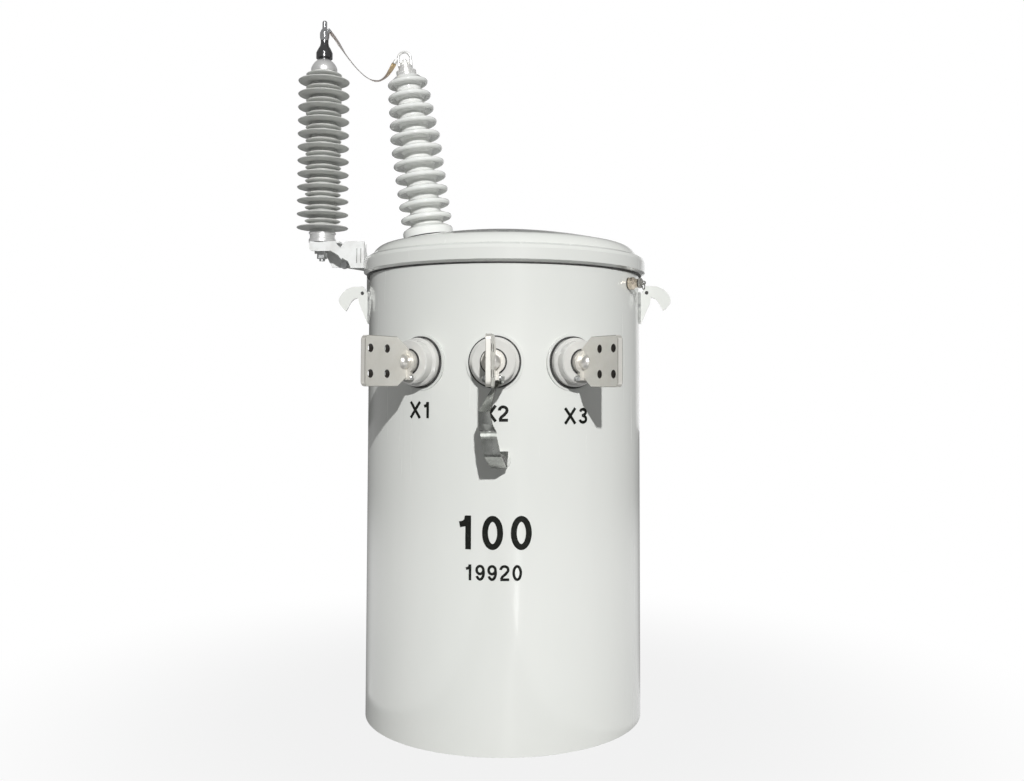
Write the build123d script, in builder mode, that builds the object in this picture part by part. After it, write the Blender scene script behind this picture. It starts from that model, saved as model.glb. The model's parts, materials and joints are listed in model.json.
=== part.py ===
from build123d import *
import os
from math import cos, pi, radians, sin, sqrt, tan

# Pole mounted distribution transformer, single phase, with its primary arrester.
# Millimetres. Origin at the middle of the tank's underside, +Z up, -Y the
# low-voltage (front) side, +Y the pole side, -X the arrester side.

os.makedirs("parts", exist_ok=True)

SEAT_GAP = 0.3  # between curved faces that touch
TRIM_IN = 12.0  # how far a welded fitting's blank reaches into the shell before it is trimmed

# ---- tank ----
TANK_R = 279.4  # 22 in diameter shell
WALL_T = 3.2
BOTTOM_T = 5.0
BODY_TOP = 895.0  # underside of the rolled rim
RIM_OUT = 6.6
RIM_T = 3.0
RIM_R = TANK_R + RIM_OUT
GASKET_T = 3.0
GASKET_INSET = 1.0  # of the cover gasket inside the rim's edge
FLANGE_Z = BODY_TOP + RIM_T + GASKET_T  # underside of the cover's flange

# ---- core and coils ----
CORE_W = 300.0
CORE_D = 240.0
CORE_H = 430.0
CORE_CORNER = 20.0
COIL_W = 150.0
COIL_D = 330.0
COIL_H = 300.0
COIL_CORNER = 50.0

# ---- cover ----
COVER_T = 3.0
SKIRT_R = TANK_R - 4.4
SKIRT_H = 21.0  # straight part above the flange
SHOULDER_IN = 28.0  # from the skirt in to the crown's edge
SHOULDER_BULGE = (9.0, 15.5)  # middle of the shoulder: in from the skirt, up from its top
CROWN_RISE = 76.5  # top of the crown above the flange
CROWN_BEND_R = 1000.0
CROWN_R = SKIRT_R - SHOULDER_IN
CROWN_TOP = FLANGE_Z + CROWN_RISE
SKIRT_TOP = FLANGE_Z + SKIRT_H

# ---- cover band ----
BAND_T = 3.0
BAND_GAP = 2.0  # round the rim
BAND_R = RIM_R + BAND_GAP + BAND_T
BAND_LOW = BODY_TOP - 4.0
BAND_TIP = 5.5  # fall of the lower lip
BAND_SHOULDER = FLANGE_Z + COVER_T + 8.0
BAND_LIP = 11.5  # rise of the upper lip
BAND_LIP_Z = BAND_SHOULDER + BAND_LIP
BAND_SPLIT_AZ = 125.0  # where the band is clamped, on the pole side
BAND_SPLIT_W = 14.0
EAR_T = 8.0
EAR_OUT = 24.0
EAR_H = 24.0
BAND_BOLT_R = 5.0
BAND_NUT_AF = 16.0
BAND_NUT_H = 8.0

# ---- high-voltage bushing, tilted outwards ----
HV_TILT = 8.2
HV_OUT = 159.5  # of its seat from the tank's axis
HV_RAISE = 7.3  # of the seat above the crown
HV_GASKET_T = 3.0
HV_HOLE_GAP = 1.0
HV_PAD_MARGIN = 4.0  # of the cover's raised pad round the foot
HV_PAD_H = 14.0
HV_FOOT_R = 52.5
HV_FOOT_H = 12.0
HV_CORE_LOW = 33.0
HV_CORE_TOP = 26.5
HV_SHED_0 = 40.0  # lowest shed above the seat
HV_PITCH = 29.1
HV_SHED_R = (53.4, 53.4, 53.4, 53.4, 53.4, 53.4, 52.8, 50.0, 47.5, 45.2, 42.2)
SHED_DROP = 8.0  # from a shed's rim down to its root on the core
SHED_RISE = 13.0  # and up to where its upper side leaves the core
HV_CAP_R = 21.0
HV_CAP_H = 13.2
HV_DOME_R = 15.1
HV_DOME_H = 10.8
HV_HEX_R = 10.0
HV_HEX_H = 9.0
HV_STEM_R = 4.8
HV_STEM_H = 5.0
EYE_R = 13.0
EYE_LEG = 18.0  # straight length of the eye's legs
EYE_WIRE_R = 2.6

# ---- arrester ----
ARR_OUT = 386.0  # of its axis from the tank's; the lead's two ends stay where they are
ARR_X = -ARR_OUT
ARR_RAISE = 59.8  # of its seat above the cover's flange
ARR_SEAT = FLANGE_Z + ARR_RAISE
COLLAR_R = 28.3
COLLAR_H = 21.0
COLLAR_GROOVE = 2.2
ARR_CORE_R = 26.5
ARR_SHED_R = 53.8
ARR_SMALL_R = 37.5
ARR_PITCH = 28.45
ARR_SHEDS = 12
ARR_SHED_UP = 10.1  # lowest shed above the collar
ARR_NECK = 1.0  # of the core above the last shed
DOME_R = 27.5
DOME_RIM = 7.0
DOME_H = 24.8
DOME_TOP_R = 15.0
FLARE_R = 17.2
FLARE_H = 44.0
FLARE_TOP_R = 8.2
CLAMP_R = 9.9
CLAMP_H = 26.0
LINE_STUD_R = 5.0
LINE_STUD_L = 16.2

# ---- bracket of the arrester ----
PLATE_T = 4.0
ARM_OVERHANG = 21.8  # of the seat plate past the arrester's axis
FRONT_Y = -24.0
REAR_Y = 26.0
BRACKET_GAP = 5.5  # between the cover band and the bracket's foot
FOOT_X = -(BAND_R + BRACKET_GAP)
SEAT_PLATE_IN = 41.5  # from the arrester's axis in to the seat plate's end
FOOT_LOW = 56.3  # of the flanges' lower edge below the seat
LIP_DROP = 20.3  # of the arm's lower edge below the seat
NOTCH_H = 13.6
NOTCH_W = 23.2
FRONT_DROP = 42.8  # of the front flange's slanted edge below the seat at its end
CREST = 6.0  # width of the foot's top before it slants down
CREST_FALL = 34.0  # of that slant by the rear flange
LEG_W = 32.0
LEG_GAP = 6.0  # between the rear flange and the leg
PAD_H = 40.0
PAD_DROP = 9.5  # of the wall pad below the cover band
STUD_HOLE_R = 6.5
STUD_GAP = 0.6
STUD_DROP = 35.0  # of the arrester's stud below its seat plate
NUT_AF = 19.0
NUT_H = 9.0
LUG_NUT_H = 12.0
LUG_NUT_DROP = 18.0  # of the second nut's top below the seat plate

# ---- low-voltage terminals ----
LV_Z = 704.0
LV_AZ = {"x1": -30.0, "x2": 0.0, "x3": 30.0}
LV_GASKET_R = 48.0
LV_GASKET_T = 4.0
LV_BOSS_OUT = 0.8  # of the wall's flat boss
LV_BOSS_MARGIN = 4.5
LV_HOLE_R = 27.0
LV_HOLE_GAP = 4.0  # round the bushing's shank in that hole
LV_SHANK = 30.0  # of the bushing inside the wall's face
LV_BODY_R = 45.0
LV_BODY_T = 12.0
LV_NECK_R = 40.0
LV_NECK_T = 19.5
SEAL_R = 24.2
SEAL_T = 1.5
STUD_R = 14.3
STUD_IN = 60.0  # inside the wall's face
STUD_TIP = 20.0  # past the hub
STUD_DOME = 13.0  # radius of its rounded end
DOME_GAP = 0.8  # between that end and the blade round it
HUB_R = 21.5
HUB_L = 10.0
CLAMP_W = 22.0
CLAMP_L = 9.0
CLAMP_DROP = 11.5  # of the clamp's ears below the hub
CLAMP_SLIT = 2.4
SPADE_T = 9.5
SPADE_H = 88.9
SPADE_NECK = 27.8  # from the hub's end to the blade's full height
SPADE_W = 86.0
SPADE_CORNER = 9.0
SPADE_ROOT = 6.2  # of the blade inside the hub's end
WEB_H = 47.0  # height of the blade there
HOLE_R = 7.14
HOLE_PITCH = 44.45
HOLE_IN = 49.7  # middle of the holes from the start of the full height
LV_FACE = TANK_R + LV_BOSS_OUT
GASKET_OUT = LV_FACE + LV_GASKET_T
BODY_OUT = GASKET_OUT + LV_BODY_T
NECK_OUT = BODY_OUT + LV_NECK_T
SEAL_OUT = NECK_OUT + SEAL_T
HUB_OUT = SEAL_OUT + HUB_L
STUD_OUT = HUB_OUT + STUD_TIP
SPADE_FULL = HUB_OUT + SPADE_NECK
SPADE_END = SPADE_FULL + SPADE_W
HOLE_MID = SPADE_FULL + HOLE_IN

# ---- ground strap ----
STRAP_T = 1.6
STRAP_W = 28.0
TONGUE_W = 40.0  # of its end behind the clamp's ears
TONGUE_H = 9.0
TONGUE_DROP = 2.0  # of that end below the seal
STRAP_OUT = 107.0  # how far its loop hangs out from the shell
BOSS_R = 15.0
BOSS_OUT = 16.6
BOSS_RIGHT = 11.8
BOSS_Z = 527.0
BOSS_FACE = TANK_R + BOSS_OUT
STRAP_LIE = BOSS_FACE + SEAT_GAP + STRAP_T / 2

# ---- lifting plates ----
LIFT_AZ = 85.0
LIFT_T = 8.0
LIFT_TOP = BAND_LOW - BAND_TIP - 20.5
LIFT_H = 77.0
LIFT_FOOT_T = 4.0
LIFT_FOOT_W = 32.0
LIFT_FOOT_DROP = 12.0
LIFT_EYE_R = 2.8

# ---- relief valve ----
VALVE_AZ = 64.0
VALVE_Z = 861.0
VALVE_BASE_R = 12.0
VALVE_BODY_R = 8.6
VALVE_CAP_R = 10.0
VALVE_OUT = 27.1
TAB_OUT = 31.1
TAB_R = 4.4
TAB_T = 3.0
TAB_HOLE_R = 2.2
RING_R = 6.0
RING_WIRE_R = 1.1

# ---- pole side ----
HANGER_PITCH = 590.55  # 23 1/4 in between pole bolts
HANGER_LOW_Z = 150.0
HANGER_W = 120.0
HANGER_T = 8.0
HANGER_OUT = 65.6
HANGER_BELOW = 60.0  # of the pole bolt
HANGER_ABOVE = 40.0
SLOT_R = 10.5  # for a 3/4 in pole bolt
KEY_R = 19.0
KEY_DROP = 27.0  # from the bolt's seat down to the middle of the round opening
HANGER_FACE = TANK_R + HANGER_OUT
PAD_AZ = 150.0
PAD_Z = 60.0
PAD_W = 50.0
GROUND_PAD_H = 36.0
PAD_CORNER = 4.0
PAD_OUT = 12.6
TAPPED_R = 5.4
TAPPED_FLOOR = 1.5

# ---- jumper lead: its route from the arrester's clamp to the bushing's eye ----
LEAD_R = 3.0
LEAD_EAR_R = 4.2
LEAD_EAR_L = 8.0
EAR_ARM_R = 2.0  # of the clamp's arm inside that ear
LEAD = (
    (-373.5, 0, 1411.5),
    (-362.0, 0, 1398.0),
    (-348.5, 0, 1375.5),
    (-331.0, 0, 1350.5),
    (-311.0, 0, 1327.0),
    (-290.0, 0, 1309.5),
    (-270.0, 0, 1304.0),
    (-255.0, 0, 1312.5),
    (-244.5, 0, 1326.5),
    (-236.0, 0, 1342.5),
)


def at(az, rho, t=0.0, z=0.0):
    """Point at azimuth az from the front, rho from the axis and t to its right."""
    a = radians(az)
    return (rho * sin(a) + t * cos(a), -rho * cos(a) + t * sin(a), z)


def facing(az, rho, z, t=0.0):
    """Plane that looks outwards at an azimuth, x to its right and y up."""
    a = radians(az)
    return Plane(origin=at(az, rho, t, z), x_dir=(cos(a), sin(a), 0), z_dir=(sin(a), -cos(a), 0))


def beside(az, rho, z, t=0.0):
    """Plane in the radial upright section, x outwards, y up, normal to -t."""
    a = radians(az)
    return Plane(origin=at(az, rho, t, z), x_dir=(sin(a), -cos(a), 0), z_dir=(-cos(a), -sin(a), 0))


def end_plane(tip, before):
    """Plane square to a cord's end, looking on past its tip."""
    return Plane(origin=tip, z_dir=Vector(*tip) - Vector(*before))


def crown(r, bend=CROWN_BEND_R, top=CROWN_TOP):
    """Height of the crown at a distance from its middle."""
    return top - bend + sqrt(bend * bend - r * r)


def save(builder, name):
    builder.part.label = name
    export_step(builder.part, f"parts/{name}.step")
    solids = builder.part.solids()
    print(f"{name}: {len(solids)} solid, volume {builder.part.volume / 1000:.1f} cm3")


# ---------------------------------------------------------------- tank
INNER_R = TANK_R - WALL_T
with BuildPart() as tank_wall:
    with BuildSketch(Plane.XZ):
        with BuildLine():
            Polyline(
                (INNER_R, 0),
                (TANK_R, 0),
                (TANK_R, BODY_TOP),
                (RIM_R, BODY_TOP),
                (RIM_R, BODY_TOP + RIM_T),
                (INNER_R, BODY_TOP + RIM_T),
                close=True,
            )
        make_face()
    revolve(axis=Axis.Z)
    for az in LV_AZ.values():
        with BuildSketch(facing(az, INNER_R, LV_Z)):
            Circle(LV_GASKET_R + LV_BOSS_MARGIN)
        extrude(amount=LV_FACE - INNER_R)
    for az in LV_AZ.values():
        with BuildSketch(facing(az, INNER_R - TRIM_IN, LV_Z)):
            Circle(LV_HOLE_R)
        extrude(amount=LV_FACE - INNER_R + 2 * TRIM_IN, mode=Mode.SUBTRACT)
save(tank_wall, "tank_wall")

with BuildPart() as tank_bottom:
    with BuildSketch():
        Circle(INNER_R - SEAT_GAP)
    extrude(amount=BOTTOM_T)
save(tank_bottom, "tank_bottom")

with BuildPart() as core_and_coils:
    with BuildSketch(Plane.XY.offset(BOTTOM_T)):
        RectangleRounded(CORE_W, CORE_D, CORE_CORNER)
    extrude(amount=CORE_H)
    with BuildSketch(Plane.XY.offset(BOTTOM_T + (CORE_H - COIL_H) / 2)):
        RectangleRounded(COIL_W, COIL_D, COIL_CORNER)
    extrude(amount=COIL_H)
save(core_and_coils, "core_and_coils")

with BuildPart() as cover_gasket:
    with BuildSketch(Plane.XY.offset(BODY_TOP + RIM_T)):
        Circle(RIM_R - GASKET_INSET)
        Circle(TANK_R, mode=Mode.SUBTRACT)
    extrude(amount=GASKET_T)
save(cover_gasket, "cover_gasket")

# ---------------------------------------------------------------- cover
HV_SEAT_Z = crown(HV_OUT) + HV_RAISE
hv = Plane(
    origin=(-HV_OUT, 0, HV_SEAT_Z),
    x_dir=(cos(radians(HV_TILT)), 0, sin(radians(HV_TILT))),
    z_dir=(-sin(radians(HV_TILT)), 0, cos(radians(HV_TILT))),
)
SHOULDER_R = SKIRT_R - SHOULDER_BULGE[0]
SHOULDER_Z = SKIRT_TOP + SHOULDER_BULGE[1]
DIAGONAL_T = COVER_T * sqrt(0.5)  # the sheet's thickness along both axes at 45 degrees
EDGE_IN_R = CROWN_R - 1
BEND_IN = CROWN_BEND_R - COVER_T
TOP_IN = CROWN_TOP - COVER_T
with BuildPart() as cover:
    with BuildSketch(Plane.XZ):
        with BuildLine():
            ThreePointArc((0, CROWN_TOP), (CROWN_R / 2, crown(CROWN_R / 2)), (CROWN_R, crown(CROWN_R)))
            ThreePointArc((CROWN_R, crown(CROWN_R)), (SHOULDER_R, SHOULDER_Z), (SKIRT_R, SKIRT_TOP))
            Polyline(
                (SKIRT_R, SKIRT_TOP),
                (SKIRT_R, FLANGE_Z + COVER_T),
                (RIM_R, FLANGE_Z + COVER_T),
                (RIM_R, FLANGE_Z),
                (SKIRT_R - COVER_T, FLANGE_Z),
                (SKIRT_R - COVER_T, SKIRT_TOP - 1),
            )
            ThreePointArc(
                (SKIRT_R - COVER_T, SKIRT_TOP - 1),
                (SHOULDER_R - DIAGONAL_T, SHOULDER_Z - DIAGONAL_T),
                (EDGE_IN_R, crown(EDGE_IN_R, BEND_IN, TOP_IN)),
            )
            ThreePointArc(
                (EDGE_IN_R, crown(EDGE_IN_R, BEND_IN, TOP_IN)),
                (EDGE_IN_R / 2, crown(EDGE_IN_R / 2, BEND_IN, TOP_IN)),
                (0, TOP_IN),
            )
            Line((0, TOP_IN), (0, CROWN_TOP))
        make_face()
    revolve(axis=Axis.Z)
    with BuildSketch(hv.offset(-HV_GASKET_T)):
        Circle(HV_FOOT_R + HV_PAD_MARGIN)
    extrude(amount=-HV_PAD_H)
    with BuildSketch(hv.offset(-HV_GASKET_T)):
        Circle(HV_CORE_LOW + HV_HOLE_GAP)
    extrude(amount=-3 * HV_PAD_H, mode=Mode.SUBTRACT)
save(cover, "cover")

# ---------------------------------------------------------------- band
LIP_R = SKIRT_R + SEAT_GAP
TIP_R = TANK_R + SEAT_GAP
split = facing(BAND_SPLIT_AZ, BAND_R - BAND_T, (BAND_LOW + BAND_SHOULDER) / 2)
split_side = Plane(
    origin=at(BAND_SPLIT_AZ, BAND_R + EAR_OUT / 2, 0, split.origin.Z),
    x_dir=split.z_dir,
    z_dir=split.x_dir,
)
EAR_END = BAND_SPLIT_W / 2 + EAR_T
with BuildPart() as cover_band:
    with BuildSketch(Plane.XZ):
        with BuildLine():
            Polyline(
                (TIP_R, BAND_LOW - BAND_TIP),
                (BAND_R, BAND_LOW),
                (BAND_R, BAND_SHOULDER),
                (BAND_R - 2.6, BAND_LIP_Z - 5.2),
                (BAND_R - 8.5, BAND_LIP_Z - 1.4),
                (LIP_R, BAND_LIP_Z),
                (LIP_R, BAND_LIP_Z - BAND_T),
                (BAND_R - 9, BAND_LIP_Z - 1.4 - BAND_T),
                (BAND_R - BAND_T, BAND_SHOULDER - 1),
                (BAND_R - BAND_T, BAND_LOW + 1.7),
                (TIP_R, BAND_LOW - BAND_TIP + BAND_T),
                close=True,
            )
        make_face()
    revolve(axis=Axis.Z)
    with BuildSketch(split):
        Rectangle(2 * EAR_END, EAR_H)
    extrude(amount=BAND_T + EAR_OUT)
    with BuildSketch(split.offset(-2 * TRIM_IN)):
        Rectangle(BAND_SPLIT_W, 3 * EAR_H)
    extrude(amount=EAR_OUT + 4 * TRIM_IN, mode=Mode.SUBTRACT)
    with BuildSketch(split_side):
        Circle(BAND_BOLT_R)
    extrude(amount=2 * EAR_END, both=True, mode=Mode.SUBTRACT)
save(cover_band, "cover_band")

with BuildPart() as band_bolt:
    with BuildSketch(split_side.offset(-EAR_END - BAND_NUT_H)):
        RegularPolygon(BAND_NUT_AF / 2, 6, major_radius=False)
    extrude(amount=BAND_NUT_H)
    with BuildSketch(split_side.offset(-EAR_END)):
        Circle(BAND_BOLT_R)
    extrude(amount=2 * EAR_END + 2 * BAND_NUT_H)
    with BuildSketch(split_side.offset(EAR_END)):
        RegularPolygon(BAND_NUT_AF / 2, 6, major_radius=False)
    extrude(amount=BAND_NUT_H)
save(band_bolt, "band_bolt")

# ---------------------------------------------------------------- HV bushing
with BuildPart() as hv_gasket:
    with BuildSketch(hv.offset(-HV_GASKET_T)):
        Circle(HV_FOOT_R + HV_HOLE_GAP)
        Circle(HV_CORE_LOW + HV_HOLE_GAP, mode=Mode.SUBTRACT)
    extrude(amount=HV_GASKET_T)
save(hv_gasket, "hv_gasket")

HV_TOP = HV_SHED_0 + (len(HV_SHED_R) - 1) * HV_PITCH + SHED_RISE


def hv_core(s):
    """Radius of the porcelain's core at a height above its seat."""
    return HV_CORE_LOW + (HV_CORE_TOP - HV_CORE_LOW) * s / HV_TOP


hv_side = Plane(origin=hv.origin, x_dir=hv.x_dir, z_dir=(0, -1, 0))
with BuildPart() as hv_porcelain:
    with BuildSketch(hv_side):
        with BuildLine():
            Polyline(
                (0, 0),
                (HV_FOOT_R, 0),
                (HV_FOOT_R, HV_FOOT_H),
                (HV_FOOT_R - 2.5, HV_FOOT_H + 4.5),
                (HV_FOOT_R - 8, HV_FOOT_H + 7.5),
                (HV_CORE_LOW + 2, HV_FOOT_H + 12.5),
                (hv_core(HV_SHED_0 - SHED_DROP), HV_SHED_0 - SHED_DROP),
            )
            for i, r in enumerate(HV_SHED_R):
                s = HV_SHED_0 + i * HV_PITCH
                low = (hv_core(s - SHED_DROP), s - SHED_DROP)
                high = (hv_core(s + SHED_RISE), s + SHED_RISE)
                Polyline(low, (hv_core(s) + 5, s - 2.5), (r - 8, s - 3.5), (r - 5, s - 6))
                ThreePointArc((r - 5, s - 6), (r, s - 1), (r - 4.2, s + 3.8))
                Polyline((r - 4.2, s + 3.8), (hv_core(s) + 4, s + SHED_RISE - 4), high)
                if i + 1 < len(HV_SHED_R):
                    above = s + HV_PITCH - SHED_DROP
                    Line(high, (hv_core(above), above))
            Polyline((hv_core(HV_TOP), HV_TOP), (0, HV_TOP), (0, 0))
        make_face()
    revolve(axis=Axis(hv.origin, hv.z_dir))
save(hv_porcelain, "hv_porcelain")

DOME_FOOT = HV_TOP + HV_CAP_H
EYE_BASE = DOME_FOOT + HV_DOME_H
with BuildPart() as hv_terminal:
    with BuildSketch(hv.offset(HV_TOP)):
        Circle(HV_CAP_R)
    extrude(amount=HV_CAP_H)
    with BuildSketch(hv.offset(DOME_FOOT)):
        Circle(HV_DOME_R)
    extrude(amount=HV_DOME_H)
    with BuildSketch(hv.offset(EYE_BASE)):
        RegularPolygon(HV_HEX_R, 6)
    extrude(amount=HV_HEX_H)
    with BuildSketch(hv.offset(EYE_BASE + HV_HEX_H)):
        Circle(HV_STEM_R)
    extrude(amount=HV_STEM_H)
save(hv_terminal, "hv_terminal")

# the open eye of the clamp, standing on the terminal's dome round its nut
EYE_MID = EYE_BASE + EYE_LEG
eye_foot = Plane(
    origin=hv_side.from_local_coords((EYE_R, EYE_BASE, 0)),
    x_dir=hv.x_dir,
    z_dir=hv.z_dir,
)
lead_end = end_plane(LEAD[-1], LEAD[-2])
with BuildPart() as hv_eye:
    with BuildLine(hv_side):
        Line((EYE_R, EYE_BASE), (EYE_R, EYE_MID))
        ThreePointArc((EYE_R, EYE_MID), (0, EYE_MID + EYE_R), (-EYE_R, EYE_MID))
        Line((-EYE_R, EYE_MID), (-EYE_R, EYE_BASE))
    with BuildSketch(eye_foot):
        Circle(EYE_WIRE_R)
    sweep()
    with BuildSketch(lead_end):
        Circle(LEAD_EAR_R)
    extrude(amount=LEAD_EAR_L)
save(hv_eye, "hv_eye")

# ---------------------------------------------------------------- arrester
arr_axis = Axis((ARR_X, 0, 0), (0, 0, 1))
arr_side = Plane(origin=(ARR_X, 0, 0), x_dir=(1, 0, 0), z_dir=(0, -1, 0))
COLLAR_TOP = ARR_SEAT + COLLAR_H
with BuildPart() as arrester_base:
    with BuildSketch(arr_side):
        with BuildLine():
            Polyline(
                (0, ARR_SEAT),
                (COLLAR_R, ARR_SEAT),
                (COLLAR_R, ARR_SEAT + 7),
                (COLLAR_R - COLLAR_GROOVE, ARR_SEAT + 9),
                (COLLAR_R - COLLAR_GROOVE, COLLAR_TOP - 4),
                (COLLAR_R, COLLAR_TOP - 2.5),
                (COLLAR_R, COLLAR_TOP),
                (0, COLLAR_TOP),
                close=True,
            )
        make_face()
    revolve(axis=arr_axis)
save(arrester_base, "arrester_base")

# sheds: an inner root below and above, with a large and a small one in each pitch
LARGE_LOW = 4.0
LARGE_HIGH = 8.0
SMALL_LOW = 3.5
SMALL_HIGH = 5.5
with BuildPart() as arrester_housing:
    with BuildSketch(arr_side):
        with BuildLine():
            z = COLLAR_TOP + ARR_SHED_UP
            Polyline((0, COLLAR_TOP), (ARR_CORE_R, COLLAR_TOP), (ARR_CORE_R, z - LARGE_LOW))
            for i in range(ARR_SHEDS):
                z = COLLAR_TOP + ARR_SHED_UP + i * ARR_PITCH
                mid = z + ARR_PITCH / 2
                Polyline(
                    (ARR_CORE_R, z - LARGE_LOW),
                    (ARR_SHED_R - 1, z - 1),
                    (ARR_SHED_R, z + 0.4),
                    (ARR_SHED_R - 2, z + 1.8),
                    (ARR_CORE_R, z + LARGE_HIGH),
                    (ARR_CORE_R, mid - SMALL_LOW),
                    (ARR_SMALL_R - 1, mid - 1),
                    (ARR_SMALL_R, mid + 0.3),
                    (ARR_SMALL_R - 2, mid + 1.5),
                    (ARR_CORE_R, mid + SMALL_HIGH),
                )
                if i + 1 < ARR_SHEDS:
                    Line((ARR_CORE_R, mid + SMALL_HIGH), (ARR_CORE_R, z + ARR_PITCH - LARGE_LOW))
            CAP_Z = mid + SMALL_HIGH + ARR_NECK
            Polyline((ARR_CORE_R, mid + SMALL_HIGH), (ARR_CORE_R, CAP_Z), (0, CAP_Z), (0, COLLAR_TOP))
        make_face()
    revolve(axis=arr_axis)
save(arrester_housing, "arrester_housing")

FLARE_Z = CAP_Z + DOME_H
with BuildPart() as arrester_cap:
    with BuildSketch(arr_side):
        with BuildLine():
            Polyline((0, CAP_Z), (DOME_R, CAP_Z), (DOME_R, CAP_Z + DOME_RIM))
            ThreePointArc(
                (DOME_R, CAP_Z + DOME_RIM),
                (DOME_R - 6, FLARE_Z - 6.3),
                (DOME_TOP_R, FLARE_Z),
            )
            Polyline((DOME_TOP_R, FLARE_Z), (0, FLARE_Z), (0, CAP_Z))
        make_face()
    revolve(axis=arr_axis)
save(arrester_cap, "arrester_cap")

CLAMP_Z = FLARE_Z + FLARE_H
with BuildPart() as arrester_terminal:
    with BuildSketch(arr_side):
        with BuildLine():
            Polyline(
                (0, FLARE_Z),
                (DOME_TOP_R - 2.5, FLARE_Z),
                (DOME_TOP_R - 2.5, FLARE_Z + 4),
                (FLARE_R, FLARE_Z + 5),
                (FLARE_R, FLARE_Z + 17),
                (FLARE_R - 3.7, FLARE_Z + 25),
                (FLARE_TOP_R + 1.3, FLARE_Z + 32),
                (FLARE_TOP_R, FLARE_Z + 38),
                (FLARE_TOP_R, CLAMP_Z),
                (0, CLAMP_Z),
                close=True,
            )
        make_face()
    revolve(axis=arr_axis)
save(arrester_terminal, "arrester_terminal")

STUD_FOOT = CLAMP_Z + CLAMP_H
ARR_TOP = STUD_FOOT + LINE_STUD_L
lead_start = end_plane(LEAD[0], LEAD[1])
ear_mid = lead_start.from_local_coords((0, 0, LEAD_EAR_L / 2))
arm = Vector(ARR_X, 0, ear_mid.Z) - ear_mid
ear_arm = Plane(origin=ear_mid, z_dir=arm)
with BuildPart() as arrester_clamp:
    with BuildSketch(arr_side):
        with BuildLine():
            Polyline(
                (0, CLAMP_Z),
                (FLARE_TOP_R, CLAMP_Z),
                (CLAMP_R, CLAMP_Z + 6),
                (CLAMP_R, CLAMP_Z + 16),
                (CLAMP_R - 2.8, STUD_FOOT - 3),
                (LINE_STUD_R, STUD_FOOT),
                (LINE_STUD_R, ARR_TOP - 3),
                (LINE_STUD_R - 1.6, ARR_TOP),
                (0, ARR_TOP),
                close=True,
            )
        make_face()
    revolve(axis=arr_axis)
    with BuildSketch(lead_start):
        Circle(LEAD_EAR_R)
    extrude(amount=LEAD_EAR_L)
    with BuildSketch(ear_arm):
        Circle(EAR_ARM_R)
    extrude(amount=arm.length)
save(arrester_clamp, "arrester_clamp")

# bracket: a seat plate between two flanges, a foot beside the band and a leg to the shell
ARM_END = ARR_X - ARM_OVERHANG
PLATE_IN = ARR_X + SEAT_PLATE_IN
FOOT_Z = ARR_SEAT - FOOT_LOW
LEG_Y = REAR_Y + LEG_GAP
PAD_TOP = BAND_LOW - BAND_TIP - PAD_DROP
front = Plane(origin=(0, FRONT_Y, 0), x_dir=(1, 0, 0), z_dir=(0, -1, 0))
rear = Plane(origin=(0, REAR_Y, 0), x_dir=(1, 0, 0), z_dir=(0, -1, 0))
foot = Plane(origin=(FOOT_X, 0, 0), x_dir=(0, 1, 0), z_dir=(1, 0, 0))
with BuildPart() as arrester_bracket:
    with BuildSketch(Plane.XY.offset(ARR_SEAT - PLATE_T)):
        with Locations(((ARM_END + PLATE_IN) / 2, (FRONT_Y + REAR_Y) / 2)):
            Rectangle(PLATE_IN - ARM_END, REAR_Y - FRONT_Y)
    extrude(amount=PLATE_T)
    with BuildSketch(front):
        with BuildLine():
            Polyline(
                (ARM_END, ARR_SEAT),
                (PLATE_IN - 10, ARR_SEAT),
                (PLATE_IN - 10 + NOTCH_W / 2, ARR_SEAT - NOTCH_H),
                (PLATE_IN - 10 + NOTCH_W, ARR_SEAT),
                (FOOT_X, ARR_SEAT),
                (FOOT_X, FOOT_Z),
                (FOOT_X - 23.5, FOOT_Z),
                (FOOT_X - 29, ARR_SEAT - FRONT_DROP),
                (PLATE_IN - 17, ARR_SEAT - LIP_DROP),
                (ARM_END + 5, ARR_SEAT - LIP_DROP),
                (ARM_END, ARR_SEAT - LIP_DROP + 4),
                close=True,
            )
        make_face()
    extrude(amount=-PLATE_T)
    with BuildSketch(rear):
        with BuildLine():
            Polyline(
                (ARM_END, ARR_SEAT),
                (FOOT_X, ARR_SEAT),
                (FOOT_X, FOOT_Z - 2),
                (PLATE_IN + 6, FOOT_Z + 5),
                (PLATE_IN - 25.5, FOOT_Z + 6.5),
                (PLATE_IN - 35.5, ARR_SEAT - LIP_DROP - 9),
                (PLATE_IN - 37.5, ARR_SEAT - LIP_DROP),
                (ARM_END, ARR_SEAT - LIP_DROP),
                close=True,
            )
        make_face()
    extrude(amount=PLATE_T)
    with BuildSketch(foot):
        with BuildLine():
            Polyline(
                (FRONT_Y, ARR_SEAT),
                (FRONT_Y, FOOT_Z),
                (LEG_Y, FOOT_Z - 2),
                (LEG_Y, PAD_TOP - PAD_H),
                (LEG_Y + LEG_W, PAD_TOP - PAD_H),
                (LEG_Y + LEG_W, ARR_SEAT - CREST_FALL - 8),
                (REAR_Y, ARR_SEAT - CREST_FALL),
                (FRONT_Y + CREST, ARR_SEAT),
                close=True,
            )
        make_face()
    extrude(amount=PLATE_T)
    with BuildSketch(facing(-90, -FOOT_X - PLATE_T, PAD_TOP - PAD_H / 2, -LEG_Y - LEG_W / 2)):
        Rectangle(LEG_W, PAD_H)
    extrude(amount=-3 * TRIM_IN)
    with BuildSketch(Plane.XY.offset(PAD_TOP - 2 * PAD_H)):
        Circle(TANK_R)
    extrude(amount=3 * PAD_H, mode=Mode.SUBTRACT)
    with BuildSketch(Plane.XY.offset(ARR_SEAT - 2 * PLATE_T)):
        with Locations((ARR_X, 0)):
            Circle(STUD_HOLE_R)
    extrude(amount=3 * PLATE_T, mode=Mode.SUBTRACT)
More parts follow.
